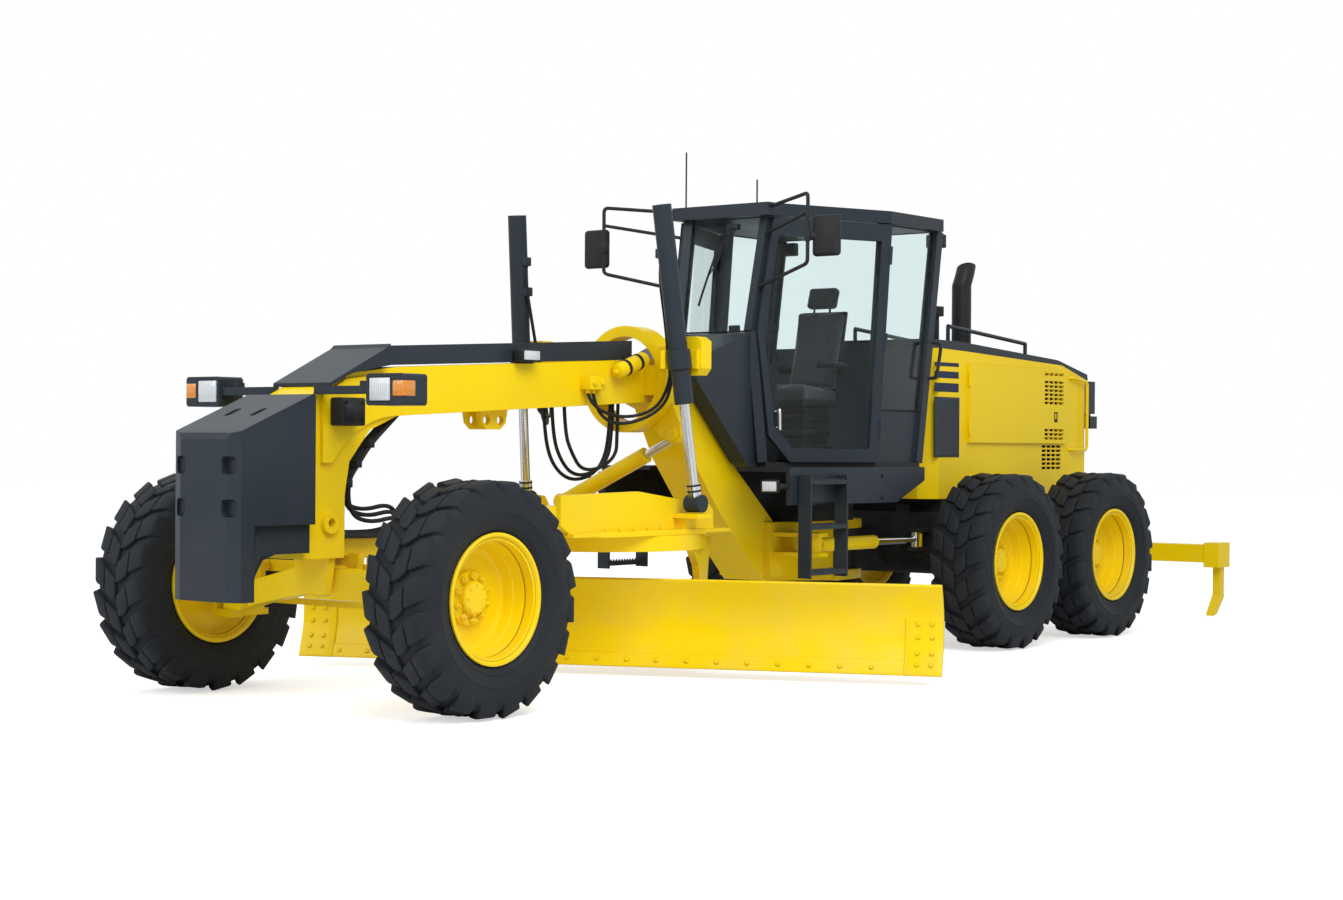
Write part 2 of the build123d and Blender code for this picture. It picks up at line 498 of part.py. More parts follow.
# Articulation cylinders beside the yoke
fx, fy, fz = ARTIC_FRONT
rx, ry, rz = ARTIC_REAR
eye = rod((fx, fy, 740 + FIT), (fx, fy, 850 - FIT), 52)
tube_a = rod((fx - 40, fy, fz), (fx - 760, fy, fz), 50) - rod((fx - 120, fy, fz), (fx - 770, fy, fz), 32)
rod_a = rod((fx - 420, fy, fz), (rx + 30, fy, fz), 26) + rod((rx, ry, 740 + FIT), (rx, ry, 850 - FIT), 46)
for side, turn in (("left", False), ("right", True)):
    nodes["artic_barrel_" + side] = other_side(eye + tube_a) if turn else eye + tube_a
    nodes["artic_rod_" + side] = other_side(rod_a) if turn else rod_a

# Cab stations: the door plane leans with the hinge pillar
B_LOW = Vector(PIVOT_X + 738, DOOR_B, CAB_FLOOR)
B_TOP = Vector(PIVOT_X + 570, DOOR_B, CAB_TOP)
A_TOP = Vector(PIVOT_X + 1507, DOOR_A, CAB_TOP)
C_LOW = Vector(PIVOT_X + 136, DOOR_B, CAB_FLOOR)
C_TOP = Vector(PIVOT_X - 140, DOOR_B, CAB_TOP)
WAIST = 2290.0
door_n = (B_TOP - B_LOW).cross(A_TOP - B_LOW).normalized()
if door_n.Y < 0:
    door_n = door_n * -1


def on_door(y, z):
    """The point of the left door plane at a half width and a height."""
    x = B_LOW.X - (door_n.Y * (y - B_LOW.Y) + door_n.Z * (z - B_LOW.Z)) / door_n.X
    return Vector(x, y, z)


A_LOW = on_door(405, CAB_FLOOR)
A_MID = on_door(345, WAIST)


def between(p, q, t):
    return p + (q - p) * t


def skin(points, out, thick):
    """A flat plate on a loop of points, thickened along out."""
    return extrude(make_face(Polyline(*points, close=True)), amount=thick, dir=out)


def flip(p):
    return Vector(p.X, -p.Y, p.Z)


# Cab base: floor, side skirts, the pedestal on the gooseneck
floor_pts = [(A_LOW.X, A_LOW.Y), (B_LOW.X, DOOR_B), (C_LOW.X, DOOR_B)]
floor_plan = floor_pts + [(x, -y) for x, y in reversed(floor_pts)]
SKIRT_X = A_LOW.X + 305.0
SKIRT_Y = 820.0
skirt = side_plate([(SKIRT_X, CAB_FLOOR - 60), (SKIRT_X, 1095), (C_LOW.X + 420, 1095), (C_LOW.X + 40, 1250),
                    (C_LOW.X + 40, CAB_FLOOR - 60)], SKIRT_Y - 30, SKIRT_Y)
deck_side = block(C_LOW.X + 40, SKIRT_X, 380, SKIRT_Y, CAB_FLOOR - 62, CAB_FLOOR - 32)
put("cab_base", flat_plate(floor_plan, CAB_FLOOR - 60, CAB_FLOOR),
    block(PIVOT_X + 330, PIVOT_X + 1050, -300, 300, YOKE_TOP + FIT, CAB_FLOOR - 50),
    *both(skirt), *both(deck_side))

# Cab frame: pillars, sills, roof, rear wall and the dark nose
roof_pts = [(A_TOP.X + 110, 420), (A_TOP.X - 20, 430), (B_TOP.X + 20, DOOR_B + 30), (C_TOP.X - 10, DOOR_B + 20)]
roof_plan = roof_pts + [(x, -y) for x, y in reversed(roof_pts)]
posts = [(A_LOW, A_MID, 70), (A_MID, A_TOP, 70), (B_LOW, B_TOP, 80), (C_LOW, C_TOP, 80)]
pillars = []
for p, q, w in posts:
    inset = Vector(0, -w / 2, 0)
    pillars += both(bar(p + inset, q + inset, w, w))
nose_side = [(A_LOW.X + 20, CAB_FLOOR - 60), (A_LOW.X + 140, CAB_FLOOR), (A_MID.X + 640, 1930),
             (A_MID.X + 640, 2060), (A_MID.X + 380, 2165), (A_MID.X + 30, WAIST - 10), (A_MID.X - 40, WAIST - 10),
             (A_LOW.X - 40, CAB_FLOOR - 60)]
rear_wall = skin([between(C_LOW, C_TOP, 0) - Vector(0, 40, 0), between(C_LOW, C_TOP, 0.5) - Vector(0, 40, 0),
                  flip(between(C_LOW, C_TOP, 0.5)) + Vector(0, 40, 0), flip(C_LOW) + Vector(0, 40, 0)],
                 Vector(1, 0, 0), 30)
quarter = skin([B_LOW - Vector(20, 30, 0), between(B_LOW, B_TOP, 0.22) - Vector(20, 30, 0),
                between(C_LOW, C_TOP, 0.22) - Vector(0, 30, 0), C_LOW - Vector(0, 30, 0)], Vector(0, -1, 0), 30)
nose = side_plate(nose_side, -330, 330)
nose -= side_plate([(RING_X - 300, 2040), (RING_X - 510, 1820), (RING_X - 980, 1355), (RING_X - 1100, 1200),
                    (RING_X, 1200), (RING_X, 2040)], -BEAM_HALF - 25, BEAM_HALF + 25)
put("cab_frame", *pillars, flat_plate(roof_plan, CAB_TOP, CAB_TOP + ROOF_THICK),
    nose, rear_wall, *both(quarter),
    rod((A_TOP.X + 60, -334, CAB_TOP), (A_TOP.X + 60, -334, CAB_TOP + 490), 6),
    rod((A_TOP.X + 60, 291, CAB_TOP), (A_TOP.X + 60, 291, CAB_TOP + 255), 6))

wide = [(x + 1, y + (1 if y > 0 else -1)) for x, y in floor_plan]
nodes["cab_frame"] -= flat_plate(wide, CAB_FLOOR - 90, CAB_FLOOR + FIT)
door_edge = [B_LOW, on_door(470, CAB_FLOOR), on_door(400, CAB_FLOOR + 180), A_MID, A_TOP, B_TOP]
for loop, out in ((door_edge, door_n), ([flip(p) for p in door_edge], flip(door_n))):
    nodes["cab_frame"] -= skin([p + out * (3 - FIT) for p in loop], out, 60)

# Cab glass: windscreen, quarter windows and rear window
GLASS = 8.0
screen = skin([flip(A_MID) + Vector(0, 60, 0), A_MID - Vector(0, 60, 0), A_TOP - Vector(0, 60, 0),
               flip(A_TOP) + Vector(0, 60, 0)], Vector(1, 0, 0), GLASS)
quarter_glass = skin([between(B_LOW, B_TOP, 0.22) - Vector(20, 30, -FIT), B_TOP - Vector(20, 30, 0),
                      C_TOP - Vector(0, 30, 0), between(C_LOW, C_TOP, 0.22) - Vector(0, 30, -FIT)],
                     Vector(0, -1, 0), GLASS)
rear_glass = skin([between(C_LOW, C_TOP, 0.5) - Vector(0, 90, -FIT), C_TOP - Vector(0, 90, 0),
                   flip(C_TOP) + Vector(0, 90, 0), flip(between(C_LOW, C_TOP, 0.5)) + Vector(0, 90, FIT)],
                  Vector(1, 0, 0), GLASS)
put("cab_glass", screen, *both(quarter_glass), rear_glass)
nodes["cab_glass"] -= nodes["cab_frame"]


# Cab doors: a framed leaf on the outside of the pillars, with its own glass
def door():
    out = door_n
    lift = out * 3
    drop = 9 / (CAB_TOP - CAB_FLOOR)
    corners = door_edge[:4] + [between(A_TOP, A_MID, 2 * drop), between(B_TOP, B_LOW, drop)]
    leaf = skin([p + lift for p in corners], out, 36)
    middle = sum((p for p in corners), Vector(0, 0, 0)) / len(corners)
    hole = skin([between(p, middle, 0.13) - out * 20 for p in corners], out, 100)
    pane = skin([between(p, middle, 0.12) + out * 14 for p in corners], out, GLASS)
    hinge_up = (B_TOP - B_LOW).normalized()
    hinge_foot = B_LOW + out * 39
    barrels = [rod(hinge_foot + hinge_up * z, hinge_foot + hinge_up * (z + 130), 14) for z in (170, 800, 1430)]
    frame = leaf - hole + barrels
    return frame - skin([between(p, middle, 0.11995) + out * (14 - FIT) for p in corners], out, GLASS + 2 * FIT), pane


leaf, pane = door()
nodes["cab_door_left"] = leaf
nodes["cab_door_right"] = other_side(leaf)
nodes["door_glass_left"] = pane
nodes["door_glass_right"] = other_side(pane)

# Seat, console and steering column inside
seat_x = PIVOT_X + 480.0
put("seat", block(seat_x - 80, seat_x + 420, -250, 250, CAB_FLOOR + 420, CAB_FLOOR + 540),
    side_plate([(seat_x - 80, CAB_FLOOR + 480), (seat_x - 220, CAB_FLOOR + 1150), (seat_x - 120, CAB_FLOOR + 1170),
                (seat_x + 30, CAB_FLOOR + 480)], -230, 230),
    block(seat_x + 20, seat_x + 320, -170, 170, CAB_FLOOR + FIT, CAB_FLOOR + 430),
    side_plate([(seat_x - 180, CAB_FLOOR + 1120), (seat_x - 250, CAB_FLOOR + 1300), (seat_x - 140, CAB_FLOOR + 1320),
                (seat_x - 105, CAB_FLOOR + 1150)], -140, 140))
wheel_x = PIVOT_X + 1330.0
hoop = [(-14, 172), (0, 186), (14, 172), (0, 158)]
put("console", side_plate([(wheel_x + 90, CAB_FLOOR + FIT), (wheel_x + 90, CAB_FLOOR + 400), (wheel_x - 60, 2150),
                           (wheel_x - 130, 2130), (wheel_x - 30, CAB_FLOOR + FIT)], -60, 60),
    Pos(wheel_x - 150, 0, 2170) * (Rot(0, -35, 0) * (Rot(90, 0, 0) * flat_ring(hoop, 16))),
    rod((wheel_x - 100, 0, 2120), (wheel_x - 155, 0, 2175), 40),
    Pos(wheel_x - 150, 0, 2170) * (Rot(0, -35, 0) * Box(330, 40, 16)),
    *both(side_plate([(wheel_x - 20, CAB_FLOOR + FIT), (wheel_x - 60, 2080), (wheel_x - 160, 2080),
                      (wheel_x - 160, CAB_FLOOR + FIT)], 90, 190)),
    block(wheel_x - 100, wheel_x - 40, -190, 190, CAB_FLOOR + FIT, CAB_FLOOR + 80))

# Mirrors on looped tube frames ahead of the doors
TUBE_R = 14.0
mirror_x = A_TOP.X + 307.0
mirror_y = 891.0
hoop_top, hoop_low = CAB_TOP + 105.0, CAB_TOP - 374.0
roots = [(A_TOP.X + 60, 400, CAB_TOP + ROOF_THICK - 30), between(A_MID, A_TOP, 0.84) + Vector(10, -35, 0),
         between(A_MID, A_TOP, 0.375) + Vector(10, -35, 0)]
frame_tubes = [rod((mirror_x, mirror_y, hoop_low - TUBE_R), (mirror_x, mirror_y, hoop_top + TUBE_R), TUBE_R)]
for root, z in zip(roots, (hoop_top, hoop_top - 128, hoop_low)):
    frame_tubes.append(rod(root, (mirror_x, mirror_y, z), TUBE_R))
shell = fillet(Box(62, 222, 286).edges().filter_by(Axis.X), 45)
head = Pos(mirror_x - 60, mirror_y + 115, CAB_TOP - 186) * shell
clamp = bar((mirror_x + 6, mirror_y, CAB_TOP - 186), (mirror_x - 60, mirror_y + 60, CAB_TOP - 186), 46, 46)
mirror_set = frame_tubes[0] + frame_tubes[1:] + [head, clamp]
put("mirrors", *both(mirror_set))
nodes["mirrors"] -= nodes["cab_frame"]

# Ladders below the doors
step_x = A_LOW.X + 215.0
step_y = SKIRT_Y + 10
ladder = [block(x - 20, x, step_y, step_y + 100, 600, 1300) for x in (step_x, step_x - 440)]
ladder += [block(step_x - 450, step_x - 10, step_y, step_y + 100, z, z + 25) for z in (620, 930, 1235)]
ladder.append(block(step_x - 450, step_x - 10, SKIRT_Y + FIT, step_y + 10, 1110, 1290))
steps = ladder[0] + ladder[1:]
put("steps", *both(steps))

# Rear frame: tongue in the yoke, cross beam, two rails and the axle housing
rail_x0, rail_x1 = HOOD_FRONT - HOOD_LEN - 250, PIVOT_X - 340
rear_parts = [
    rod((PIVOT_X, 0, YOKE_LOW + 70 + FIT), (PIVOT_X, 0, YOKE_TOP - 70 - FIT), 115),
    block(PIVOT_X - 460, PIVOT_X, -95, 95, YOKE_LOW + 90, YOKE_TOP - 90),
    block(PIVOT_X - 480, PIVOT_X - 340, -CASE_IN + 140, CASE_IN - 140, 680, 1000),
    block(rail_x0, rail_x0 + 120, -370, 370, 820, 1060),
    rod((TANDEM_X, -CASE_IN + FIT, AXLE_Z), (TANDEM_X, CASE_IN - FIT, AXLE_Z), 170),
]
rear_parts += both(block(rail_x0, rail_x1, 250, 370, 820, 1060))
rear_parts += both(block(TANDEM_X - 200, TANDEM_X + 200, 230, 390, 700, 830))
for z in (850, 710):
    rear_parts += both(flat_plate([(rx - 120, ry - 70), (rx + 60, ry - 50), (rx + 60, ry + 50), (rx - 120, ry + 70)],
                                  z, z + 30))
rear_parts += both(side_plate([(rail_x0 + 10, 1060), (rail_x0 + 10, 760), (RIPPER_X - 60, RIPPER_Z - 70),
                               (RIPPER_X - 90, RIPPER_Z), (RIPPER_X - 60, RIPPER_Z + 70)], 300, 340))
rear_parts += both(block(HOOD_FRONT - 300, HOOD_FRONT - 180, 370, HOOD_HALF - SKIN - FIT, 990, 1150))
rear_parts += both(block(HOOD_FRONT - 2300, HOOD_FRONT - 2180, 370, HOOD_HALF - SKIN - FIT, 990, 1150))
rear_parts += both(rod((RIPPER_X, 300, RIPPER_Z), (RIPPER_X, 415, RIPPER_Z), RIPPER_PIN))
put("rear_frame", *rear_parts)

# Tandem cases: chain housings that rock on the axle
reach = TANDEM_BASE / 2
case = block(TANDEM_X - reach, TANDEM_X + reach, CASE_IN, CASE_OUT, AXLE_Z - 135, AXLE_Z + 135)
for x in (-reach, reach):
    case += rod((TANDEM_X + x, CASE_IN, AXLE_Z), (TANDEM_X + x, CASE_OUT, AXLE_Z), 135)
    case += rod((TANDEM_X + x, CASE_OUT - 10, AXLE_Z), (TANDEM_X + x, HALF_TREAD - 70 - FIT, AXLE_Z), 95)
nodes["tandem_left"] = case
nodes["tandem_right"] = other_side(case)

# Hood: side skins, front and rear walls, dark top cap
hx0, hx1 = HOOD_FRONT - HOOD_LEN, HOOD_FRONT
hood_plan = [(hx0, -HOOD_HALF), (hx0, HOOD_HALF), (hx1 - 120, HOOD_HALF), (hx1, HOOD_HALF - 120),
             (hx1, -HOOD_HALF + 120), (hx1 - 120, -HOOD_HALF)]
inner_plan = [(hx0 + SKIN, -HOOD_HALF + SKIN), (hx0 + SKIN, HOOD_HALF - SKIN), (hx1 - 124, HOOD_HALF - SKIN),
              (hx1 - SKIN, HOOD_HALF - 124), (hx1 - SKIN, -HOOD_HALF + 124), (hx1 - 124, -HOOD_HALF + SKIN)]
slope = [(hx0 - 10, HOOD_LOW - 10), (hx0 - 10, HOOD_TOP - 165), (hx0 + 400, HOOD_TOP - 60), (hx1 - 500, HOOD_TOP),
         (hx1 + 10, HOOD_TOP + 15), (hx1 + 10, HOOD_LOW - 10)]
hood = flat_plate(hood_plan, HOOD_LOW, 2400) & side_plate(slope, -700, 700)
hood -= flat_plate(inner_plan, HOOD_LOW - 50, HOOD_TOP - 190)
DOOR_X0, DOOR_X1 = hx0 + 370, hx1 - 530
DOOR_Z0, DOOR_Z1 = 1530.0, HOOD_TOP - 90
hood -= block(DOOR_X0 + 40, DOOR_X1 - 40, -700, 700, DOOR_Z0 + 40, DOOR_Z1 - 50)
LOUVRE_X0, LOUVRE_X1 = DOOR_X0 + 45, DOOR_X0 + 365
for k in range(6):
    hood -= block(LOUVRE_X0, LOUVRE_X1, -700, 700, 1320 + 35 * k, 1340 + 35 * k)
hood -= flat_plate([(x, y * 0.9) for x, y in inner_plan], HOOD_TOP - 200, HOOD_TOP - 80) & side_plate(
    [(x, z - 40) for x, z in slope], -540, 540)
rail_y = HOOD_HALF + 38
grab = [(hx0 + 285, HOOD_HALF - 5, 2075), (hx0 + 260, rail_y, 2075), (hx0 + 50, rail_y, 2050), (hx0 + 30, rail_y, 2020),
        (hx0 + 30, rail_y, 1500), (hx0 + 60, rail_y, 1480), (hx0 + 260, rail_y, 1480), (hx0 + 285, HOOD_HALF - 5, 1480)]
grab_tubes = [rod(p, q, 13) for p, q in zip(grab[:-1], grab[1:])]
grab_tubes += [Pos(*p) * Sphere(13) for p in grab[1:-1]]
put("hood", hood, *[side for tube in grab_tubes for side in both(tube)])
cap = [(hx0 - 130, HOOD_TOP - 170), (hx0 - 120, HOOD_TOP - 120), (hx0 + 400, HOOD_TOP - 15), (hx1 - 500, HOOD_TOP + 75),
       (hx1 - 20, HOOD_TOP + 80), (hx1 - 20, HOOD_TOP + 15 * 480 / 510 + FIT), (hx1 - 500, HOOD_TOP + FIT),
       (hx0 + 400, HOOD_TOP - 60 + FIT), (hx0, HOOD_TOP - 60 - 105 * 400 / 410 + FIT)]
rail = rod((hx1 - 520, 430, HOOD_TOP + 200), (hx0 + 720, 430, HOOD_TOP + 110), 16)
rail_posts = [rod((hx1 - 520, 430, HOOD_TOP + 50), (hx1 - 520, 430, HOOD_TOP + 200), 16),
              rod((hx0 + 720, 430, HOOD_TOP - 20), (hx0 + 720, 430, HOOD_TOP + 110), 16)]
top_cap = side_plate(cap, -HOOD_HALF + 40, HOOD_HALF - 40)
put("hood_top", top_cap, *both(rail), *both(rail_posts[0]), *both(rail_posts[1]))
leaf = side_plate([(DOOR_X0, DOOR_Z0), (DOOR_X1, DOOR_Z0), (DOOR_X1, DOOR_Z1), (DOOR_X0 + 200, DOOR_Z1 - 10),
                   (DOOR_X0, DOOR_Z1 - 45)], HOOD_HALF + FIT, HOOD_HALF + 25)
for low_z, count in ((2095, 1), (1860, 6), (1570, 3)):
    for k in range(count):
        leaf -= block(LOUVRE_X0, LOUVRE_X1, HOOD_HALF - 5, HOOD_HALF + 40, low_z - 10 + 34 * k, low_z + 10 + 34 * k)
for z in (DOOR_Z0 + 60, DOOR_Z1 - 180):
    leaf += rod((DOOR_X1, HOOD_HALF + 25, z), (DOOR_X1, HOOD_HALF + 25, z + 100), 12)
nodes["hood_door_left"] = leaf
nodes["hood_door_right"] = other_side(leaf)
put("engine", block(hx0 + 500, hx1 - 420, -320, 320, 1060 + FIT, 1900),
    block(hx0 + 80, hx0 + 380, -360, 360, 1060 + FIT, 1950))

# Exhaust: a swept stack that bends to the rear, and the air cleaner's cap beside it
stack_x, stack_y = hx1 - 1110.0, 200.0
STACK_R = 78.0
BEND_R = 190.0
foot = Vector(stack_x, stack_y, HOOD_TOP - 40)
elbow = Vector(stack_x, stack_y, HOOD_TOP + 560)
stack_line = Line(foot, elbow) + RadiusArc(elbow, elbow + Vector(-0.36 * BEND_R, 0, 0.77 * BEND_R), -BEND_R)
pipe = sweep(Plane(origin=foot, z_dir=(0, 0, 1)) * Circle(STACK_R), path=stack_line)
pipe -= sweep(Plane(origin=foot, z_dir=(0, 0, 1)) * Circle(STACK_R - 8), path=stack_line)
clean_x, clean_y = hx1 - 800.0, 120.0
put("exhaust", pipe, rod((clean_x, clean_y, HOOD_TOP - 20), (clean_x, clean_y, HOOD_TOP + 310), 52),
    rod((clean_x, clean_y, HOOD_TOP + 300), (clean_x, clean_y, HOOD_TOP + 375), 88))
roof_line = [(x, z + FIT) for x, z in cap[2:5]]
nodes["exhaust"] -= side_plate(roof_line + [(cap[4][0], HOOD_LOW), (cap[2][0], HOOD_LOW)], -HOOD_HALF, HOOD_HALF)

# Rear box: the cooler's grille box above, the dark rear wall below, a tail lamp under each corner
box_z = HOOD_TOP - 450.0
put("rear_grille", block(hx0 - 300, hx0 - FIT, -540, 540, box_z, HOOD_TOP - 175 - FIT),
    block(hx0 - 60, hx0 - FIT, -560, 560, 1060 + FIT, box_z + 10),
    *both(block(hx0 - 320, hx0 - 200, 430, 550, box_z - 125, box_z - 20)),
    *both(block(hx0 - 280, hx0 - 240, 470, 510, box_z - 30, box_z + 10)))
for k in range(7):
    nodes["rear_grille"] -= block(hx0 - 310, hx0 - 270, -480, 480, box_z + 30 + 33 * k, box_z + 50 + 33 * k)

# Ripper: hinged frame, cross beam and forward-bent shanks
bx = RIPPER_X - RIPPER_REACH
beam_z0, beam_z1 = 500.0, 655.0
arm = side_plate([(RIPPER_X - 70, RIPPER_Z - 70), (RIPPER_X + 70, RIPPER_Z - 60), (RIPPER_X + 60, RIPPER_Z + 70),
                  (RIPPER_X - 120, RIPPER_Z + 60), (bx + 40, beam_z1 + 140), (bx - 60, beam_z1), (bx - 60, beam_z0 + 20),
                  (bx + 120, beam_z0 + 20)], 340 + FIT, 400)
arm -= rod((RIPPER_X, 330, RIPPER_Z), (RIPPER_X, 410, RIPPER_Z), RIPPER_PIN + FIT)
shank = side_plate([(bx - 85, 470), (bx - 5, 470), (bx - 5, 220), (bx + 115, 70), (bx + 125, 40), (bx + 60, 52),
                    (bx - 85, 190)], -35, 35)
socket = block(bx - 120, bx + 110, -70, 70, beam_z0 - 40, beam_z1 + 20)
ripper = [block(bx - 80, bx + 100, -RIPPER_HALF, RIPPER_HALF, beam_z0, beam_z1), *both(arm)]
for k in (-1, 0, 1):
    ripper += [Pos(0, k * (RIPPER_HALF - 25), 0) * shank, Pos(0, k * (RIPPER_HALF - 25), 0) * socket]
put("ripper", *ripper)

# Move the whole so its origin is the bottom centre of its box, then write it out
boxes = [shape.bounding_box() for shape in nodes.values()]
low_x, high_x = min(b.min.X for b in boxes), max(b.max.X for b in boxes)
low_y, high_y = min(b.min.Y for b in boxes), max(b.max.Y for b in boxes)
home = Pos(-(low_x + high_x) / 2, -(low_y + high_y) / 2, -min(b.min.Z for b in boxes))
os.makedirs("parts", exist_ok=True)
for name, shape in nodes.items():
    export_step(home * shape, "parts/" + name + ".step")
print("nodes", len(nodes), "shift", home.position)
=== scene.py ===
from math import atan2, cos, pi, radians, sin

import bpy
from mathutils import Matrix, Vector


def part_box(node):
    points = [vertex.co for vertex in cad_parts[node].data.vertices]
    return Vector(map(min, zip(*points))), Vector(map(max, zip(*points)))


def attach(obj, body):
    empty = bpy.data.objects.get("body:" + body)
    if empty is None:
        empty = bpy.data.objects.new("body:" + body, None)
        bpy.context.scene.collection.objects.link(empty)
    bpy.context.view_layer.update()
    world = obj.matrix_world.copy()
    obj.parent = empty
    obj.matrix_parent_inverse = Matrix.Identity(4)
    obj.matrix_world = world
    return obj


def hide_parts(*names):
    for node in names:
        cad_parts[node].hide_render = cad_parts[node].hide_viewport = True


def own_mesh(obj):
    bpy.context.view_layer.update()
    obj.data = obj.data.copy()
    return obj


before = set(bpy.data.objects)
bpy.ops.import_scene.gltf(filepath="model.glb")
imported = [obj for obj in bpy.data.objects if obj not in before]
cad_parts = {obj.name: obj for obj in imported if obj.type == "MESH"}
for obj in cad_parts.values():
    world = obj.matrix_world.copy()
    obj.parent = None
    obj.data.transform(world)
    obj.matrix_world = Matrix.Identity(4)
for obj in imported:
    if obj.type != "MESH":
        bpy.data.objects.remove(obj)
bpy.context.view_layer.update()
scene = bpy.context.scene
scene.view_settings.view_transform = "Standard"

# Stage: a pale floor, a white sky that also shows in metal and glass, one broad
# lamp high on the left and a weaker one ahead.
FLOOR_GLOW, SKY_LIGHT = 0.56, 0.55


def made(name):
    """A new material with its node tree and its main shader."""
    material = bpy.data.materials.new(name)
    material.use_nodes = True
    return material, material.node_tree, material.node_tree.nodes["Principled BSDF"]


def tuned(node, values):
    """Set a node's own sockets."""
    for socket, value in values.items():
        node.inputs[socket].default_value = value


def wired(tree, kind, links=None, **values):
    """A node with its settings and the sockets or values that feed it."""
    node = tree.nodes.new(kind)
    for key, value in values.items():
        setattr(node, key, value)
    for key, source in (links or {}).items():
        if hasattr(source, "is_output"):
            tree.links.new(source, node.inputs[key])
        else:
            node.inputs[key].default_value = source
    return node


bpy.ops.object.select_all(action="DESELECT")
bpy.ops.mesh.primitive_plane_add(size=120, location=(0, 0, -0.002))
floor = bpy.context.object
floor.name = "floor"
floor_paint, floor_tree, floor_shader = made("pale_floor")
tuned(floor_shader, {"Base Color": (0.9, 0.9, 0.9, 1), "Roughness": 0.9, "Specular IOR Level": 0.0})
floor_path = wired(floor_tree, "ShaderNodeLightPath")
floor_share = wired(floor_tree, "ShaderNodeMath", {0: floor_path.outputs["Is Camera Ray"], 1: FLOOR_GLOW},
                    operation="MULTIPLY")
floor_glow = wired(floor_tree, "ShaderNodeEmission", {"Strength": floor_share.outputs[0]})
floor_sum = wired(floor_tree, "ShaderNodeAddShader", {0: floor_shader.outputs[0], 1: floor_glow.outputs[0]})
floor_tree.links.new(floor_sum.outputs[0], floor_tree.nodes["Material Output"].inputs["Surface"])
floor.data.materials.append(floor_paint)

world = bpy.data.worlds.new("white_sky")
scene.world = world
world.use_nodes = True
sky = world.node_tree
sky_path = wired(sky, "ShaderNodeLightPath")
sky_seen = wired(sky, "ShaderNodeMath", {0: sky_path.outputs["Is Camera Ray"],
                                         1: sky_path.outputs["Is Transmission Ray"]}, operation="MAXIMUM")
sky_clear = wired(sky, "ShaderNodeMath", {0: sky_path.outputs["Is Glossy Ray"], 1: sky_seen.outputs[0]},
                  operation="MAXIMUM")
sky_light = sky.nodes["Background"]
tuned(sky_light, {"Color": (0.93, 0.96, 1.0, 1), "Strength": SKY_LIGHT})
sky_white = wired(sky, "ShaderNodeBackground", {"Color": (1, 1, 1, 1)})
sky_mix = wired(sky, "ShaderNodeMixShader", {"Fac": sky_clear.outputs[0], 1: sky_light.outputs[0],
                                             2: sky_white.outputs[0]})
sky.links.new(sky_mix.outputs[0], sky.nodes["World Output"].inputs["Surface"])


def lamp(name, place, aim, size, power):
    """A square soft box at a place, turned to a point."""
    bpy.ops.object.light_add(type="AREA", location=place)
    box = bpy.context.object
    box.name = name
    box.data.size = size
    box.data.energy = power
    box.rotation_euler = (Vector(aim) - Vector(place)).to_track_quat("-Z", "Y").to_euler()


lamp("key_lamp", (7.5, 9.0, 11.0), (-0.5, 0, 1.0), 9.0, 1500)
lamp("nose_lamp", (14.0, -5.0, 7.0), (1.0, 0, 1.2), 7.0, 500)

# Camera: the photograph was taken from the front left, 1.5 m above the ground.
# Yaw, pitch and roll are radians; the lens is for a 36 mm wide frame.
eye_place = Vector((13.5063, 9.3739, 1.4946))
eye_yaw, eye_pitch, eye_roll = 3.8024, -0.0022, 0.0071
ahead = Vector((cos(eye_yaw) * cos(eye_pitch), sin(eye_yaw) * cos(eye_pitch), sin(eye_pitch)))
right = Vector((sin(eye_yaw), -cos(eye_yaw), 0))
above = right.cross(ahead)
right_rolled = right * cos(eye_roll) + above * sin(eye_roll)
above_rolled = above * cos(eye_roll) - right * sin(eye_roll)
bpy.ops.object.camera_add()
camera = bpy.context.object
camera.data.lens = 61.02
camera.data.sensor_width = 36.0
camera.data.clip_end = 200
turn = Matrix((right_rolled, above_rolled, -ahead)).transposed().to_4x4()
camera.matrix_world = Matrix.Translation(eye_place) @ turn
scene.camera = camera

# Front frame: welded box beam with the head column, gooseneck and yoke, sprayed
# in thick yellow machine enamel. The paint has faint orange peel and road dust.
YELLOW = (0.89, 0.63, 0.003, 1)
DUST = (0.42, 0.40, 0.36, 1)


def socketed_group(name, ins, outs):
    """An empty shader group with its named sockets."""
    group = bpy.data.node_groups.new(name, "ShaderNodeTree")
    for label, kind, value in ins:
        socket = group.interface.new_socket(label, in_out="INPUT", socket_type=kind)
        socket.default_value = value
    for label, kind in outs:
        group.interface.new_socket(label, in_out="OUTPUT", socket_type=kind)
    return group, group.nodes.new("NodeGroupInput"), group.nodes.new("NodeGroupOutput")


dust_group, dust_in, dust_out = socketed_group(
    "enamel_dust",
    [("Paint", "NodeSocketColor", YELLOW), ("Dust", "NodeSocketColor", DUST),
     ("Amount", "NodeSocketFloat", 0.3), ("Gloss", "NodeSocketFloat", 0.3)],
    [("Color", "NodeSocketColor"), ("Roughness", "NodeSocketFloat"), ("Height", "NodeSocketFloat")])
dust_spot = wired(dust_group, "ShaderNodeTexCoord").outputs["Object"]
dust_cloud = wired(dust_group, "ShaderNodeTexNoise", {"Vector": dust_spot, "Scale": 2.3, "Detail": 6.0,
                                                      "Roughness": 0.62})
dust_apart = wired(dust_group, "ShaderNodeSeparateXYZ", {"Vector": dust_spot})
dust_low = wired(dust_group, "ShaderNodeMapRange", {"Value": dust_apart.outputs["Z"], "From Min": 1.5,
                                                    "From Max": 0.1, "To Min": 0.12, "To Max": 1.0})
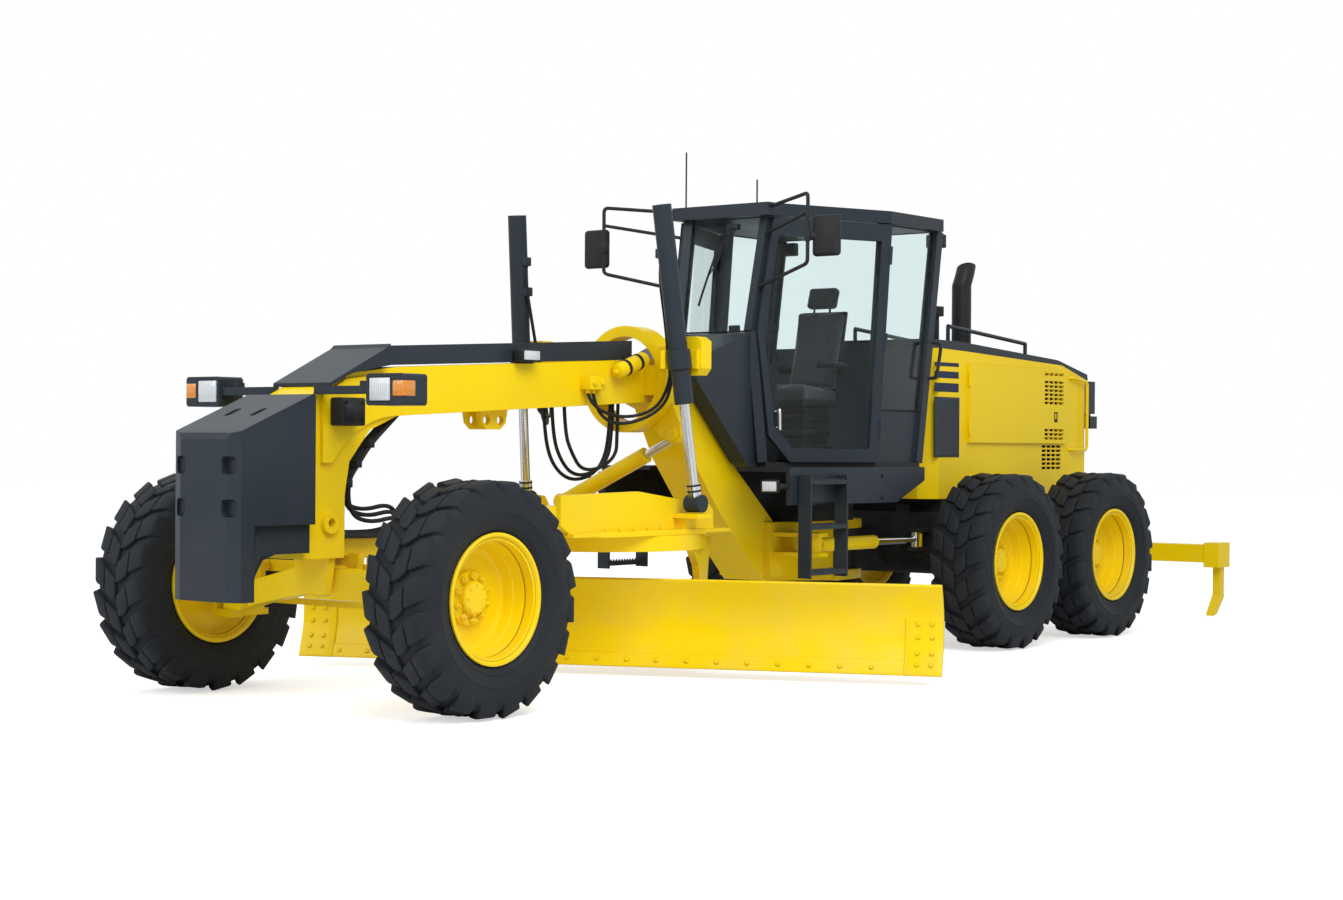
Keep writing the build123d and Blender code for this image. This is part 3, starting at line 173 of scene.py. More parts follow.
dust_patch = wired(dust_group, "ShaderNodeMapRange", {"Value": dust_cloud.outputs["Fac"], "From Min": 0.42,
                                                      "From Max": 0.78})
dust_share = wired(dust_group, "ShaderNodeMath", {0: dust_patch.outputs[0], 1: dust_low.outputs[0]},
                   operation="MULTIPLY")
dust_fade = wired(dust_group, "ShaderNodeMath", {0: dust_share.outputs[0], 1: dust_in.outputs["Amount"]},
                  operation="MULTIPLY")
dust_tone = wired(dust_group, "ShaderNodeTexNoise", {"Vector": dust_spot, "Scale": 0.9, "Detail": 3.0})
dust_bright = wired(dust_group, "ShaderNodeMapRange", {"Value": dust_tone.outputs["Fac"], "From Min": 0.3,
                                                       "From Max": 0.7, "To Min": 0.94, "To Max": 1.05})
dust_shade = wired(dust_group, "ShaderNodeHueSaturation", {"Color": dust_in.outputs["Paint"],
                                                           "Value": dust_bright.outputs[0]})
dust_mix = wired(dust_group, "ShaderNodeMix", {"Factor": dust_fade.outputs[0], 6: dust_shade.outputs[0],
                                               7: dust_in.outputs["Dust"]}, data_type="RGBA")
dust_peel = wired(dust_group, "ShaderNodeTexNoise", {"Vector": dust_spot, "Scale": 160.0, "Detail": 2.0})
dust_matte = wired(dust_group, "ShaderNodeMath", {0: dust_fade.outputs[0], 1: 0.9}, operation="MULTIPLY")
dust_rough = wired(dust_group, "ShaderNodeMath", {0: dust_matte.outputs[0], 1: dust_in.outputs["Gloss"]},
                   operation="ADD")
dust_group.links.new(dust_mix.outputs[2], dust_out.inputs["Color"])
dust_group.links.new(dust_rough.outputs[0], dust_out.inputs["Roughness"])
dust_group.links.new(dust_peel.outputs["Fac"], dust_out.inputs["Height"])


def enamel(name, colour, gloss, dust, peel=0.02, edge=0.006):
    """Sprayed machine paint: dust low down, orange peel, softly rounded edges."""
    paint, tree, shader = made(name)
    coat = wired(tree, "ShaderNodeGroup", node_tree=dust_group)
    tuned(coat, {"Paint": colour, "Dust": DUST, "Amount": dust, "Gloss": gloss})
    tree.links.new(coat.outputs["Color"], shader.inputs["Base Color"])
    tree.links.new(coat.outputs["Roughness"], shader.inputs["Roughness"])
    soft_edge = wired(tree, "ShaderNodeBevel", {"Radius": edge}, samples=4)
    bump = wired(tree, "ShaderNodeBump", {"Height": coat.outputs["Height"], "Normal": soft_edge.outputs[0],
                                          "Strength": peel, "Distance": 0.002})
    tree.links.new(bump.outputs[0], shader.inputs["Normal"])
    tuned(shader, {"Specular IOR Level": 0.13, "Coat Weight": 0.03, "Coat Roughness": 0.12})
    return paint


def paint_nodes(material, *names):
    """Give CAD nodes one finish."""
    for name in names:
        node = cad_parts[name]
        node.data.materials.clear()
        node.data.materials.append(material)
        node.data.polygons.foreach_set("material_index", [0] * len(node.data.polygons))


def paint_part(material, name, test):
    """Give the faces of a CAD node that pass a test a second finish."""
    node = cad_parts[name]
    node.data.materials.append(material)
    slot_number = len(node.data.materials) - 1
    for face in node.data.polygons:
        if test(face.center - STATION):
            face.material_index = slot_number


yellow_enamel = enamel("yellow_enamel", YELLOW, 0.28, 0.16)
paint_nodes(yellow_enamel, "front_frame", "saddle")
axle_low, axle_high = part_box("front_axle")
STATION = Vector(((axle_low.x + axle_high.x) / 2, (axle_low.y + axle_high.y) / 2, 0))


def alone(piece):
    """Make one piece the only chosen one."""
    bpy.ops.object.select_all(action="DESELECT")
    piece.select_set(True)
    bpy.context.view_layer.objects.active = piece
    return piece


def rounded(piece, edge, steps=2):
    """Break the sharp edges of a piece and shade it smoothly."""
    alone(piece)
    bevel = piece.modifiers.new("edge", "BEVEL")
    bevel.width = edge
    bevel.segments = steps
    bpy.ops.object.modifier_apply(modifier=bevel.name)
    bpy.ops.object.shade_smooth_by_angle(angle=radians(40))
    return piece


def block(low, high, edge, steps=2):
    """A block between two corners with broken edges."""
    bpy.ops.object.select_all(action="DESELECT")
    middle = [(a + b) / 2 for a, b in zip(low, high)]
    bpy.ops.mesh.primitive_cube_add(size=1, location=middle)
    piece = bpy.context.object
    piece.scale = [b - a for a, b in zip(low, high)]
    bpy.ops.object.transform_apply(location=True, rotation=True, scale=True)
    return rounded(piece, edge, steps)


def gripped(piece, test):
    """Edit mode with only the faces that pass a test chosen."""
    alone(piece)
    bpy.ops.object.mode_set(mode="EDIT")
    bpy.ops.mesh.select_mode(type="FACE")
    bpy.ops.mesh.select_all(action="DESELECT")
    bpy.ops.object.mode_set(mode="OBJECT")
    for face in piece.data.polygons:
        face.select = test(face.center, face.normal)
    bpy.ops.object.mode_set(mode="EDIT")


def sunk(piece, face, rim, shift):
    """Set the faces that look one way in by a rim and push them."""
    gripped(piece, lambda centre, normal: normal.dot(Vector(face)) > 0.99)
    bpy.ops.mesh.inset(thickness=rim)
    bpy.ops.transform.translate(value=shift)
    bpy.ops.object.mode_set(mode="OBJECT")
    return piece


def bar(start, end, radius, edge, sides=24):
    """A turned bar from one point to another with chamfered ends."""
    start, end = Vector(start), Vector(end)
    along = end - start
    bpy.ops.object.select_all(action="DESELECT")
    bpy.ops.mesh.primitive_cylinder_add(vertices=sides, radius=radius, depth=along.length,
                                        location=(start + end) / 2,
                                        rotation=along.to_track_quat("Z", "Y").to_euler())
    bpy.ops.object.transform_apply(location=True, rotation=True, scale=True)
    return rounded(bpy.context.object, edge)


def hose(route, radius, ring=False):
    """A hose or bent tube along a smooth line, or a bead round a ring of corners, as a mesh."""
    bpy.ops.object.select_all(action="DESELECT")
    bpy.ops.curve.primitive_nurbs_path_add()
    tube = bpy.context.object
    line = tube.data
    line.splines.clear()
    line.bevel_depth = radius
    line.bevel_resolution = 2 if ring else 3
    line.resolution_u = 6
    line.use_fill_caps = not ring
    run = line.splines.new("POLY" if ring else "NURBS")
    run.points.add(len(route) - 1)
    for point, place in zip(run.points, route):
        point.co = (*place, 1)
    run.order_u = 3
    run.use_endpoint_u = not ring
    run.use_cyclic_u = ring
    bpy.ops.object.convert(target="MESH")
    bpy.ops.object.shade_smooth_by_angle(angle=radians(50))
    return bpy.context.object


def copied(piece, matrix):
    """A copy with its own mesh, moved by a matrix; a mirrored one is turned right side out."""
    twin = piece.copy()
    twin.data = piece.data.copy()
    scene.collection.objects.link(twin)
    twin.data.transform(matrix)
    if matrix.determinant() < 0:
        twin.data.flip_normals()
    return twin


RIGHT_SIDE = Matrix.Scale(-1, 4, (0, 1, 0))


def both_sides(parts):
    """The left-hand parts and their mirrored twins."""
    return parts + [copied(part, RIGHT_SIDE) for part in parts]


def coated(parts, material):
    """Give loose parts a finish of their own before they are joined."""
    for part in parts:
        part.data.materials.clear()
        part.data.materials.append(material)
    return parts


def joined(parts):
    """Join loose parts into the first of them."""
    alone(parts[0])
    for part in parts:
        part.select_set(True)
    if len(parts) > 1:
        bpy.ops.object.join()
    return bpy.context.object


def fitted(name, parts, body):
    """Join parts into one named piece, shift it from the axle's station and hang it on a body."""
    piece = joined(parts)
    bpy.ops.object.transform_apply(location=True, rotation=True, scale=True)
    piece.name = name
    piece.data.name = name
    piece.data.transform(Matrix.Translation(STATION))
    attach(piece, body)
    return piece


def fitted_pair(name, parts, body):
    """A piece on the left-hand body and its mirrored twin on the right-hand one."""
    for side, mirror in (("left", Matrix.Identity(4)), ("right", RIGHT_SIDE)):
        fitted(name + side, [copied(part, mirror) for part in parts], body + side)
    for part in parts:
        bpy.data.objects.remove(part)


def landed(surface, start, way):
    """Where a line from a point meets a placed piece, with that face's normal."""
    found, place, normal, _ = surface.ray_cast(Vector(start) + STATION, Vector(way))
    if not found:
        raise ValueError("no surface of " + surface.name + " under the bolt at " + str(tuple(start)))
    return place - STATION, normal


def hex_bolts(seats, across):
    """Washer-faced hexagon heads on (place, normal) seats, one modelled and the rest copied."""
    bpy.ops.object.select_all(action="DESELECT")
    bpy.ops.mesh.primitive_cylinder_add(vertices=24, radius=across * 0.68, depth=across * 0.16,
                                        location=(0, 0, across * 0.06))
    head = bpy.context.object
    bpy.ops.object.transform_apply(location=True)
    gripped(head, lambda centre, normal: normal.z > 0.9)
    bpy.ops.mesh.inset(thickness=across * 0.14)
    bpy.ops.object.mode_set(mode="OBJECT")
    bpy.ops.object.select_all(action="DESELECT")
    bpy.ops.mesh.primitive_cylinder_add(vertices=6, radius=across * 0.56, depth=across * 0.5,
                                        location=(0, 0, across * 0.3))
    crown = bpy.context.object
    bpy.ops.object.transform_apply(location=True)
    head = joined([head, rounded(crown, across * 0.06, 1)])
    heads = []
    for place, normal in seats:
        turn = normal.to_track_quat("Z", "Y").to_matrix().to_4x4()
        heads.append(copied(head, Matrix.Translation(place) @ turn))
    bpy.data.objects.remove(head)
    return heads


def work_lamp(low, high, face, lens_finish, shell_finish):
    """A boxed lamp: rounded shell with one face sunk for a lens; face is the outward axis."""
    outward = Vector(face)
    shell = block(low, high, 0.008, 3)
    biggest = max(shell.data.polygons, key=lambda panel: panel.area * max(0.0, panel.normal.dot(outward)))
    centre = biggest.center.copy()
    gripped(shell, lambda middle, normal: normal.dot(outward) > 0.99 and (middle - centre).length < 0.001)
    bpy.ops.mesh.inset(thickness=0.010)
    bpy.ops.transform.translate(value=outward * -0.012)
    bpy.ops.object.mode_set(mode="OBJECT")
    spread = Vector([(b - a) / 2 - 0.011 for a, b in zip(low, high)])
    thin = Vector([0.005 if abs(axis) > 0.5 else reach for axis, reach in zip(outward, spread)])
    middle = centre - outward * 0.006
    lens = block(middle - thin, middle + thin, 0.004, 2)
    return coated([shell], shell_finish) + coated([lens], lens_finish)


# Beam fittings: a flood lamp on the beam's left edge, the valve block with its
# unions, and the accumulator held to the beam by two rubber-lined straps.
black_steel = enamel("black_chassis_paint", (0.018, 0.019, 0.021, 1), 0.42, 0.15)
slate_enamel = enamel("slate_enamel", (0.024, 0.032, 0.041, 1), 0.36, 0.05)
plastic = enamel("black_moulding", (0.020, 0.021, 0.023, 1), 0.55, 0.06, 0.08, 0.01)


def lens_glass(name, colour, flutes):
    """A moulded lamp lens with fine upright flutes, each groove painted darker as shade."""
    material, tree, shader = made(name)
    spot = wired(tree, "ShaderNodeTexCoord").outputs["Object"]
    wave = wired(tree, "ShaderNodeTexWave", {"Vector": spot, "Scale": flutes, "Distortion": 0.0},
                 bands_direction="Y")
    # Painted shade: each flute's groove takes the lens colour at 0.72 of its strength.
    flute_groove_shade = [part * 0.72 for part in colour]
    tone = wired(tree, "ShaderNodeMix", {"Factor": wave.outputs["Fac"], 6: [*flute_groove_shade, 1], 7: [*colour, 1]},
                 data_type="RGBA")
    tree.links.new(tone.outputs[2], shader.inputs["Base Color"])
    bump = wired(tree, "ShaderNodeBump", {"Height": wave.outputs["Fac"], "Strength": 0.35,
                                          "Distance": 0.003})
    tree.links.new(bump.outputs[0], shader.inputs["Normal"])
    tuned(shader, {"Roughness": 0.12, "Coat Weight": 0.6})
    return material


clear_lens = lens_glass("clear_lens", (0.66, 0.70, 0.72), 22.0)
amber_lens = lens_glass("amber_lens", (0.80, 0.27, 0.012), 30.0)
red_lens = lens_glass("red_lens", (0.55, 0.016, 0.012), 30.0)
beam_lamp = work_lamp((-1.55, 0.172, 2.004), (-1.38, 0.256, 2.084), (0, 1, 0), clear_lens, plastic)
beam_lamp += coated([block((-1.50, 0.145, 1.994), (-1.43, 0.235, 2.008), 0.003)], black_steel)
fitted("beam_flood_lamp", beam_lamp, "front")

valve = [block((-2.18, 0.168, 1.845), (-2.02, 0.262, 1.935), 0.006)]
for port_x in (-2.15, -2.10, -2.05):
    valve.append(bar((port_x, 0.215, 1.822), (port_x, 0.215, 1.85), 0.017, 0.003, 6))
for plug_x in (-2.14, -2.06):
    valve.append(bar((plug_x, 0.255, 1.89), (plug_x, 0.276, 1.89), 0.022, 0.004, 6))
fitted("valve_block", coated(valve, yellow_enamel), "front")

flask_front, flask_back = Vector((-2.313, 0.236, 1.968)), Vector((-2.604, 0.236, 2.062))
flask = bar(flask_front, flask_back, 0.052, 0.022, 32)
flask_way = (flask_back - flask_front).normalized()
neck = bar(flask_front - flask_way * 0.022, flask_front + flask_way * 0.01, 0.018, 0.003, 6)
straps = []
for share in (0.3, 0.72):
    seat_point = flask_front.lerp(flask_back, share)
    straps.append(bar(seat_point - flask_way * 0.014, seat_point + flask_way * 0.014, 0.056, 0.003, 32))
    straps.append(block(seat_point + Vector((-0.02, -0.072, -0.03)),
                        seat_point + Vector((0.02, -0.035, 0.03)), 0.004))
fitted("accumulator", coated([flask, neck], yellow_enamel) + coated(straps, plastic), "front")

# Hydraulic hoses: black wire-braid rubber, each held at both ends on the front
# half: at the beam, the head column or a lift barrel.
hose_rubber = enamel("hose_rubber", (0.014, 0.015, 0.016, 1), 0.5, 0.05, 0.12, 0.002)
column_hoses, column_ends = [], []
for lane, drop in ((0.062, 0.0), (0.098, 0.035), (0.134, 0.07)):
    column_hoses.append(hose([(-0.46, lane, 1.70), (-0.36, lane, 1.62), (-0.19, lane, 1.485),
                              (-0.095, lane, 1.37), (-0.01, lane, 1.27), (-0.03, lane, 1.15 - drop),
                              (-0.20, lane, 1.10 - drop), (-0.42, lane, 1.14 - drop),
                              (-0.50, lane, 1.05 - drop), (-0.36, lane, 0.985 - drop / 3),
                              (-0.15, lane, 0.975 - drop / 3), (0.05, lane, 0.985 - drop / 3)], 0.013))
    column_ends.append(bar((0.0, lane, 0.985 - drop / 3), (0.052, lane, 0.985 - drop / 3), 0.019, 0.003, 12))
clamps = []
for clamp_x, clamp_z in ((-0.185, 1.49), (-0.085, 1.375), (-0.012, 1.262)):
    clamps.append(block((clamp_x - 0.022, 0.04, clamp_z - 0.024), (clamp_x + 0.022, 0.156, clamp_z + 0.024),
                        0.005))
fitted("column_hoses", coated(column_hoses, hose_rubber) + coated(column_ends + clamps, plastic), "front")

lift_hoses = []
for start_x, swing in ((-2.05, 0.0), (-2.10, 0.05)):
    lift_hoses.append(hose([(start_x, 0.215, 1.825), (start_x - 0.01, 0.24, 1.73 - swing),
                            (-2.28, 0.32, 1.66 - swing), (-2.47, 0.45 + swing, 1.72),
                            (-2.50, 0.54 + swing / 3, 1.92), (-2.445, 0.556, 2.06),
                            (-2.41, 0.566, 2.24), (-2.36 + swing, 0.572, 2.45 + 4 * swing),
                            (-2.36, 0.582, 2.52 + 4 * swing)], 0.011))
lift_unions = [block((-2.40, 0.568, 2.49), (-2.33, 0.602, 2.55), 0.006),
               block((-2.37, 0.556, 2.69), (-2.30, 0.594, 2.75), 0.006)]
lift_hoses = coated(both_sides(lift_hoses), hose_rubber) + coated(both_sides(lift_unions), slate_enamel)
fitted("lift_hoses", lift_hoses, "front")

slung = []
for lane, spare in ((-0.10, 0.0), (-0.055, 0.03), (0.02, 0.065)):
    slung.append(hose([(-1.98 - spare, lane, 1.75), (-1.99 - spare, lane, 1.56),
                       (-2.06 - spare, lane, 1.37 + spare), (-2.22, lane, 1.26 + spare),
                       (-2.42, lane, 1.27 + spare), (-2.58, lane, 1.36 + spare),
                       (-2.65 + spare, lane, 1.55), (-2.66 + spare, lane, 1.79)], 0.012))
beam_hoses = fitted("beam_hoses", coated(slung, hose_rubber), "front")
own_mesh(beam_hoses)

# Push block and lamps: the ballast casting on the nose, head lamps with fluted
# lenses and amber corner lamps on the bar, and a black relay box on the column.
paint_nodes(slate_enamel, "push_block", "frame_covers", "headlamp_bar")
lens = block((0.296, 0.629, 1.725), (0.3125, 0.786, 1.852), 0.007, 3)
head_lenses = both_sides([sunk(lens, (1, 0, 0), 0.012, (0.004, 0, 0))])
corner_lenses = both_sides([block((0.215, 0.806, 1.748), (0.3135, 0.8945, 1.838), 0.010, 3)])
fitted("head_lamp_lenses", coated(head_lenses, clear_lens), "front")
fitted("corner_lamp_lenses", coated(corner_lenses, amber_lens), "front")
relay = block((0.0, 0.196, 1.59), (0.19, 0.292, 1.75), 0.012, 3)
gripped(relay, lambda centre, normal: normal.y > 0.99)
bpy.ops.mesh.inset(thickness=0.014)
bpy.ops.mesh.extrude_region_move(TRANSFORM_OT_translate={"value": (0, 0.008, 0)})
bpy.ops.object.mode_set(mode="OBJECT")
relay_bolts = hex_bolts([(Vector((bolt_x, 0.300, bolt_z)), Vector((0, 1, 0)))
                         for bolt_x in (0.03, 0.16) for bolt_z in (1.615, 1.725)], 0.013)
fitted("relay_box", coated([relay] + relay_bolts, plastic), "front")

# Wheels: cross-ply grader tyres with two staggered rows of slanting lugs, on
# three-piece yellow rims with a dished disc, ten wheel nuts and a hub cap.
rubber = enamel("tyre_rubber", (0.017, 0.020, 0.024, 1), 0.60, 0.03, 0.16, 0.004)
tuned(rubber.node_tree.nodes["Principled BSDF"], {"Coat Weight": 0.0, "Specular IOR Level": 0.12})
corners = [where + "_" + side for where in ("front", "middle", "rear") for side in ("left", "right")]
LUGS, WHEEL_NUTS, CAP_SCREWS, TYRE_STEPS, RIM_STEPS = 20, 10, 8, 120, 96


def turned(outline, steps):
    """A ring or hub drawn out round the Y axis, circle by circle, from its (y, radius) outline."""
    bpy.ops.object.select_all(action="DESELECT")
    across, reach = outline[0]
    bpy.ops.mesh.primitive_circle_add(vertices=steps, radius=reach, location=(0, across, 0),
                                      rotation=(pi / 2, 0, 0))
    bpy.ops.object.transform_apply(location=True, rotation=True, scale=True)
    bpy.ops.object.mode_set(mode="EDIT")
    bpy.ops.mesh.select_mode(type="EDGE")
    bpy.ops.mesh.select_all(action="SELECT")
    for next_across, next_reach in outline[1:]:
        bpy.ops.mesh.extrude_region_move(TRANSFORM_OT_translate={"value": (0, next_across - across, 0)})
        grow = next_reach / reach
        bpy.ops.transform.resize(value=(grow, 1, grow), center_override=(0, next_across, 0))
        across, reach = next_across, next_reach
    bpy.ops.mesh.select_all(action="SELECT")
    bpy.ops.mesh.remove_doubles(threshold=0.0012)
    bpy.ops.mesh.normals_make_consistent(inside=False)
    bpy.ops.object.mode_set(mode="OBJECT")
    bpy.ops.object.shade_smooth_by_angle(angle=radians(32))
    return bpy.context.object


def repeated(piece, count):
    """Copies of a part spun round the Y axis inside its own mesh."""
    alone(piece)
    bpy.ops.object.mode_set(mode="EDIT")
    bpy.ops.mesh.select_all(action="SELECT")
    bpy.ops.mesh.spin(steps=count - 1, dupli=True, angle=2 * pi * (count - 1) / count, center=(0, 0, 0),
                      axis=(0, 1, 0))
    bpy.ops.object.mode_set(mode="OBJECT")
    return piece


wall = [(0.163, 0.320), (0.163, 0.366), (0.172, 0.374), (0.184, 0.386), (0.1915, 0.398), (0.1965, 0.401),
        (0.1985, 0.408), (0.1965, 0.412), (0.208, 0.436), (0.2150, 0.462), (0.2190, 0.468), (0.2222, 0.472),
        (0.2225, 0.480), (0.2200, 0.484), (0.2205, 0.510), (0.2170, 0.540), (0.2090, 0.572), (0.1950, 0.598),
        (0.1750, 0.611), (0.0900, 0.618), (0.0140, 0.6195)]
carcass = turned(wall + [(-across, reach) for across, reach in reversed(wall)] + [wall[0]], TYRE_STEPS)


def lug_block(line):
    """A tread block drawn out section by section: across, lean, half width, top and foot."""
    across, lean, half, top, foot = line[0]
    bpy.ops.object.select_all(action="DESELECT")
    bpy.ops.mesh.primitive_plane_add(size=1, location=(lean, across, (top + foot) / 2),
                                     rotation=(pi / 2, 0, 0))
    lug = bpy.context.object
    lug.scale = (2 * half, top - foot, 1)
    bpy.ops.object.transform_apply(location=True, rotation=True, scale=True)
    bpy.ops.object.mode_set(mode="EDIT")
    bpy.ops.mesh.select_mode(type="FACE")
    bpy.ops.mesh.select_all(action="SELECT")
    for next_across, next_lean, next_half, next_top, next_foot in line[1:]:
        move = (next_lean - lean, next_across - across, (next_top + next_foot - top - foot) / 2)
        bpy.ops.mesh.extrude_region_move(TRANSFORM_OT_translate={"value": move})
        bpy.ops.transform.resize(value=(next_half / half, 1, (next_top - next_foot) / (top - foot)),
                                 center_override=(next_lean, next_across, (next_top + next_foot) / 2))
        across, lean, half, top, foot = next_across, next_lean, next_half, next_top, next_foot
    bpy.ops.mesh.select_all(action="SELECT")
    bpy.ops.mesh.normals_make_consistent(inside=False)
    bpy.ops.object.mode_set(mode="OBJECT")
    return rounded(lug, 0.007, 2)


inner_line = [(0.004, 0.022, 0.060, 0.6430, 0.600), (0.036, 0.010, 0.068, 0.6435, 0.600),
              (0.066, -0.012, 0.072, 0.6430, 0.600), (0.096, -0.036, 0.066, 0.6425, 0.598)]
outer_line = [(0.104, -0.040, 0.060, 0.6420, 0.598), (0.130, -0.058, 0.070, 0.6405, 0.595),
              (0.176, -0.078, 0.072, 0.6365, 0.590), (0.199, -0.088, 0.068, 0.6280, 0.575),
              (0.214, -0.092, 0.060, 0.5900, 0.540)]
tread = []
for line in (inner_line, outer_line):
    lug = lug_block(line)
    tread.append(repeated(copied(lug, Matrix.Rotation(-pi / LUGS, 4, "Y") @ RIGHT_SIDE), LUGS))
    tread.append(repeated(lug, LUGS))
tyre_model = coated([joined([carcass] + tread)], rubber)[0]

dish = [(0.036, 0.0005), (0.036, 0.070), (0.034, 0.082), (0.028, 0.090), (0.018, 0.094), (-0.006, 0.095),
        (-0.010, 0.099), (-0.010, 0.146), (-0.014, 0.150), (-0.036, 0.152), (-0.040, 0.156), (-0.041, 0.245),
        (-0.038, 0.270), (-0.028, 0.284), (0.030, 0.299), (0.034, 0.304), (0.110, 0.321), (0.160, 0.331),
        (0.166, 0.336), (0.180, 0.341), (0.1845, 0.346), (0.185, 0.356), (0.1825, 0.362), (0.176, 0.364),
        (0.168, 0.362), (0.165, 0.355), (0.165, 0.321), (0.163, 0.319), (-0.163, 0.319), (-0.165, 0.321),
        (-0.165, 0.355), (-0.168, 0.362), (-0.176, 0.364), (-0.1825, 0.362), (-0.185, 0.356),
        (-0.185, 0.342), (-0.178, 0.334), (-0.075, 0.294), (-0.070, 0.288), (-0.070, 0.0005), (0.036, 0.0005)]
hub = turned(dish, RIM_STEPS)
nut = bar((0, -0.012, 0.123), (0, 0.013, 0.123), 0.0185, 0.003, 6)
stud = bar((0, 0.0, 0.123), (0, 0.024, 0.123), 0.0095, 0.002, 12)
cap_screw = bar((0, 0.030, 0.074), (0, 0.042, 0.074), 0.0075, 0.002, 6)
fasteners = [repeated(nut, WHEEL_NUTS), repeated(stud, WHEEL_NUTS), repeated(cap_screw, CAP_SCREWS)]
rim_model = coated([joined([hub] + fasteners)], yellow_enamel)[0]
for corner in corners:
    wheel_low, wheel_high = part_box("rim_" + corner)
    seat_matrix = Matrix.Translation((wheel_low + wheel_high) / 2 - STATION)
    if corner.endswith("right"):
        seat_matrix = seat_matrix @ RIGHT_SIDE
    tyre_piece = fitted("tread_" + corner, [copied(tyre_model, seat_matrix)], "wheel_" + corner)
    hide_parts("tyre_" + corner)
    rim_piece = fitted("wheel_disc_" + corner, [copied(rim_model, seat_matrix)], "wheel_" + corner)
    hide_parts("rim_" + corner)
bpy.data.objects.remove(tyre_model)
bpy.data.objects.remove(rim_model)

# Front axle, knuckles and steering linkage: forged and welded pieces on plain
# pins, all sprayed yellow with the frame.
paint_nodes(yellow_enamel, "front_axle", "lean_bracket_left", "lean_bracket_right", "spindle_left",
            "spindle_right", "lean_bar", "tie_rod", "tie_rod_end")

# Drawbar, circle and blade carrier: flame-cut plate welded up and bolted, greased
# where the circle runs, yellow all over.
paint_nodes(yellow_enamel, "drawbar", "circle", "tilt_frame", "centre_barrel")
flange_seats = [landed(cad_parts["drawbar"], (bolt_x, 0.622, 1.02), (0, 0, -1))
                for bolt_x in (-1.76, -1.90, -2.04, -2.18, -2.315, -2.50)]
fitted("drawbar_bolts", coated(both_sides(hex_bolts(flange_seats, 0.026)), yellow_enamel), "drawbar")

# Blade: a rolled plate with a bolted cutting edge, end bits, and two rails behind
# that it slides on. Bolts hold the edge and the bits, painted with the blade.
BLADE_HALF, BIT_WIDTH, EDGE_X, BLADE_SHIFT = 2.165, 0.24, 0.235, 0.160
BIT_START = BLADE_HALF - BIT_WIDTH
blade_turn = radians(23)
blade_way = Vector((-sin(blade_turn), cos(blade_turn), 0))
blade_out = Vector((cos(blade_turn), sin(blade_turn), 0))
blade_mid = Vector((-2.40, 0, 0))
parked = Matrix.Translation(blade_mid + blade_way * BLADE_SHIFT) @ Matrix.Rotation(blade_turn, 4, "Z")


def rolled(outline, side_low, side_high, thick):
    """A sheet drawn up through its (x, z) outline, smoothed, then thickened backwards."""
    (x0, z0), (x1, z1) = outline[:2]
    middle = ((x0 + x1) / 2, (side_low + side_high) / 2, (z0 + z1) / 2)
    bpy.ops.object.select_all(action="DESELECT")
    bpy.ops.mesh.primitive_plane_add(size=1, location=middle,
                                     rotation=(0, atan2(z0 - z1, x1 - x0), 0))
    sheet = bpy.context.object
    sheet.scale = (Vector((x1 - x0, z1 - z0)).length, side_high - side_low, 1)
    bpy.ops.object.transform_apply(location=True, rotation=True, scale=True)
    bpy.ops.object.mode_set(mode="EDIT")
    bpy.ops.mesh.select_mode(type="EDGE")
    bpy.ops.mesh.select_all(action="DESELECT")
    bpy.ops.object.mode_set(mode="OBJECT")
    for line in sheet.data.edges:
        line.select = all(abs(sheet.data.vertices[end].co.z - z1) < 0.0001 for end in line.vertices)
    bpy.ops.object.mode_set(mode="EDIT")
    for (xa, za), (xb, zb) in zip(outline[1:], outline[2:]):
        bpy.ops.mesh.extrude_region_move(TRANSFORM_OT_translate={"value": (xb - xa, 0, zb - za)})
    bpy.ops.object.mode_set(mode="OBJECT")
    if sheet.data.polygons[0].normal.x < 0:
        sheet.data.flip_normals()
    bend = sheet.modifiers.new("bend", "SUBSURF")
    bend.levels = bend.render_levels = 2
    bend.boundary_smooth = "PRESERVE_CORNERS"
    bpy.ops.object.modifier_apply(modifier=bend.name)
    wall_maker = sheet.modifiers.new("wall", "SOLIDIFY")
    wall_maker.thickness = thick
    wall_maker.offset = -1
    bpy.ops.object.modifier_apply(modifier=wall_maker.name)
    return rounded(sheet, 0.003, 2)


blade_face = [(EDGE_X, 0.065), (EDGE_X - 0.030, 0.150), (EDGE_X - 0.075, 0.260), (EDGE_X - 0.085, 0.370),
              (EDGE_X - 0.060, 0.480), (EDGE_X - 0.008, 0.575), (EDGE_X + 0.025, 0.625)]
bit_face = [(x + 0.013, z) for x, z in blade_face[:4]] + [(EDGE_X - 0.064, 0.415)]
edge_face = [(x + 0.009, z) for x, z in blade_face[:2]]
blade_parts = [rolled(blade_face, -BLADE_HALF, BLADE_HALF, 0.022),
               rolled(edge_face, -BIT_START, BIT_START, 0.014),
               rolled(bit_face, BIT_START, BLADE_HALF, 0.020),
               rolled(bit_face, -BLADE_HALF, -BIT_START, 0.020)]
for rail_low, rail_high, rail_front in ((0.430, 0.500, 0.078), (0.240, 0.300, 0.085)):
    blade_parts.append(block((EDGE_X - 0.1347, -1.6, rail_low), (EDGE_X - rail_front, 1.6, rail_high),
                             0.006))
for part in blade_parts:
    part.data.transform(parked)
blade = fitted("blade_plate", coated(blade_parts, yellow_enamel), "blade")
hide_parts("moldboard")
paint_nodes(yellow_enamel, "moldboard")
blade_spots = [(-1.72 + 0.2 * step, 0.108) for step in range(19)]
blade_spots += [(end, height) for end in (2.165, 2.255, -1.845, -1.935)
                for height in (0.13, 0.20, 0.30, 0.385)]
ahead_of_blade = blade_mid + blade_out * 1.5
blade_seats = [landed(blade, ahead_of_blade + blade_way * along + Vector((0, 0, height)), -blade_out)
               for along, height in blade_spots]
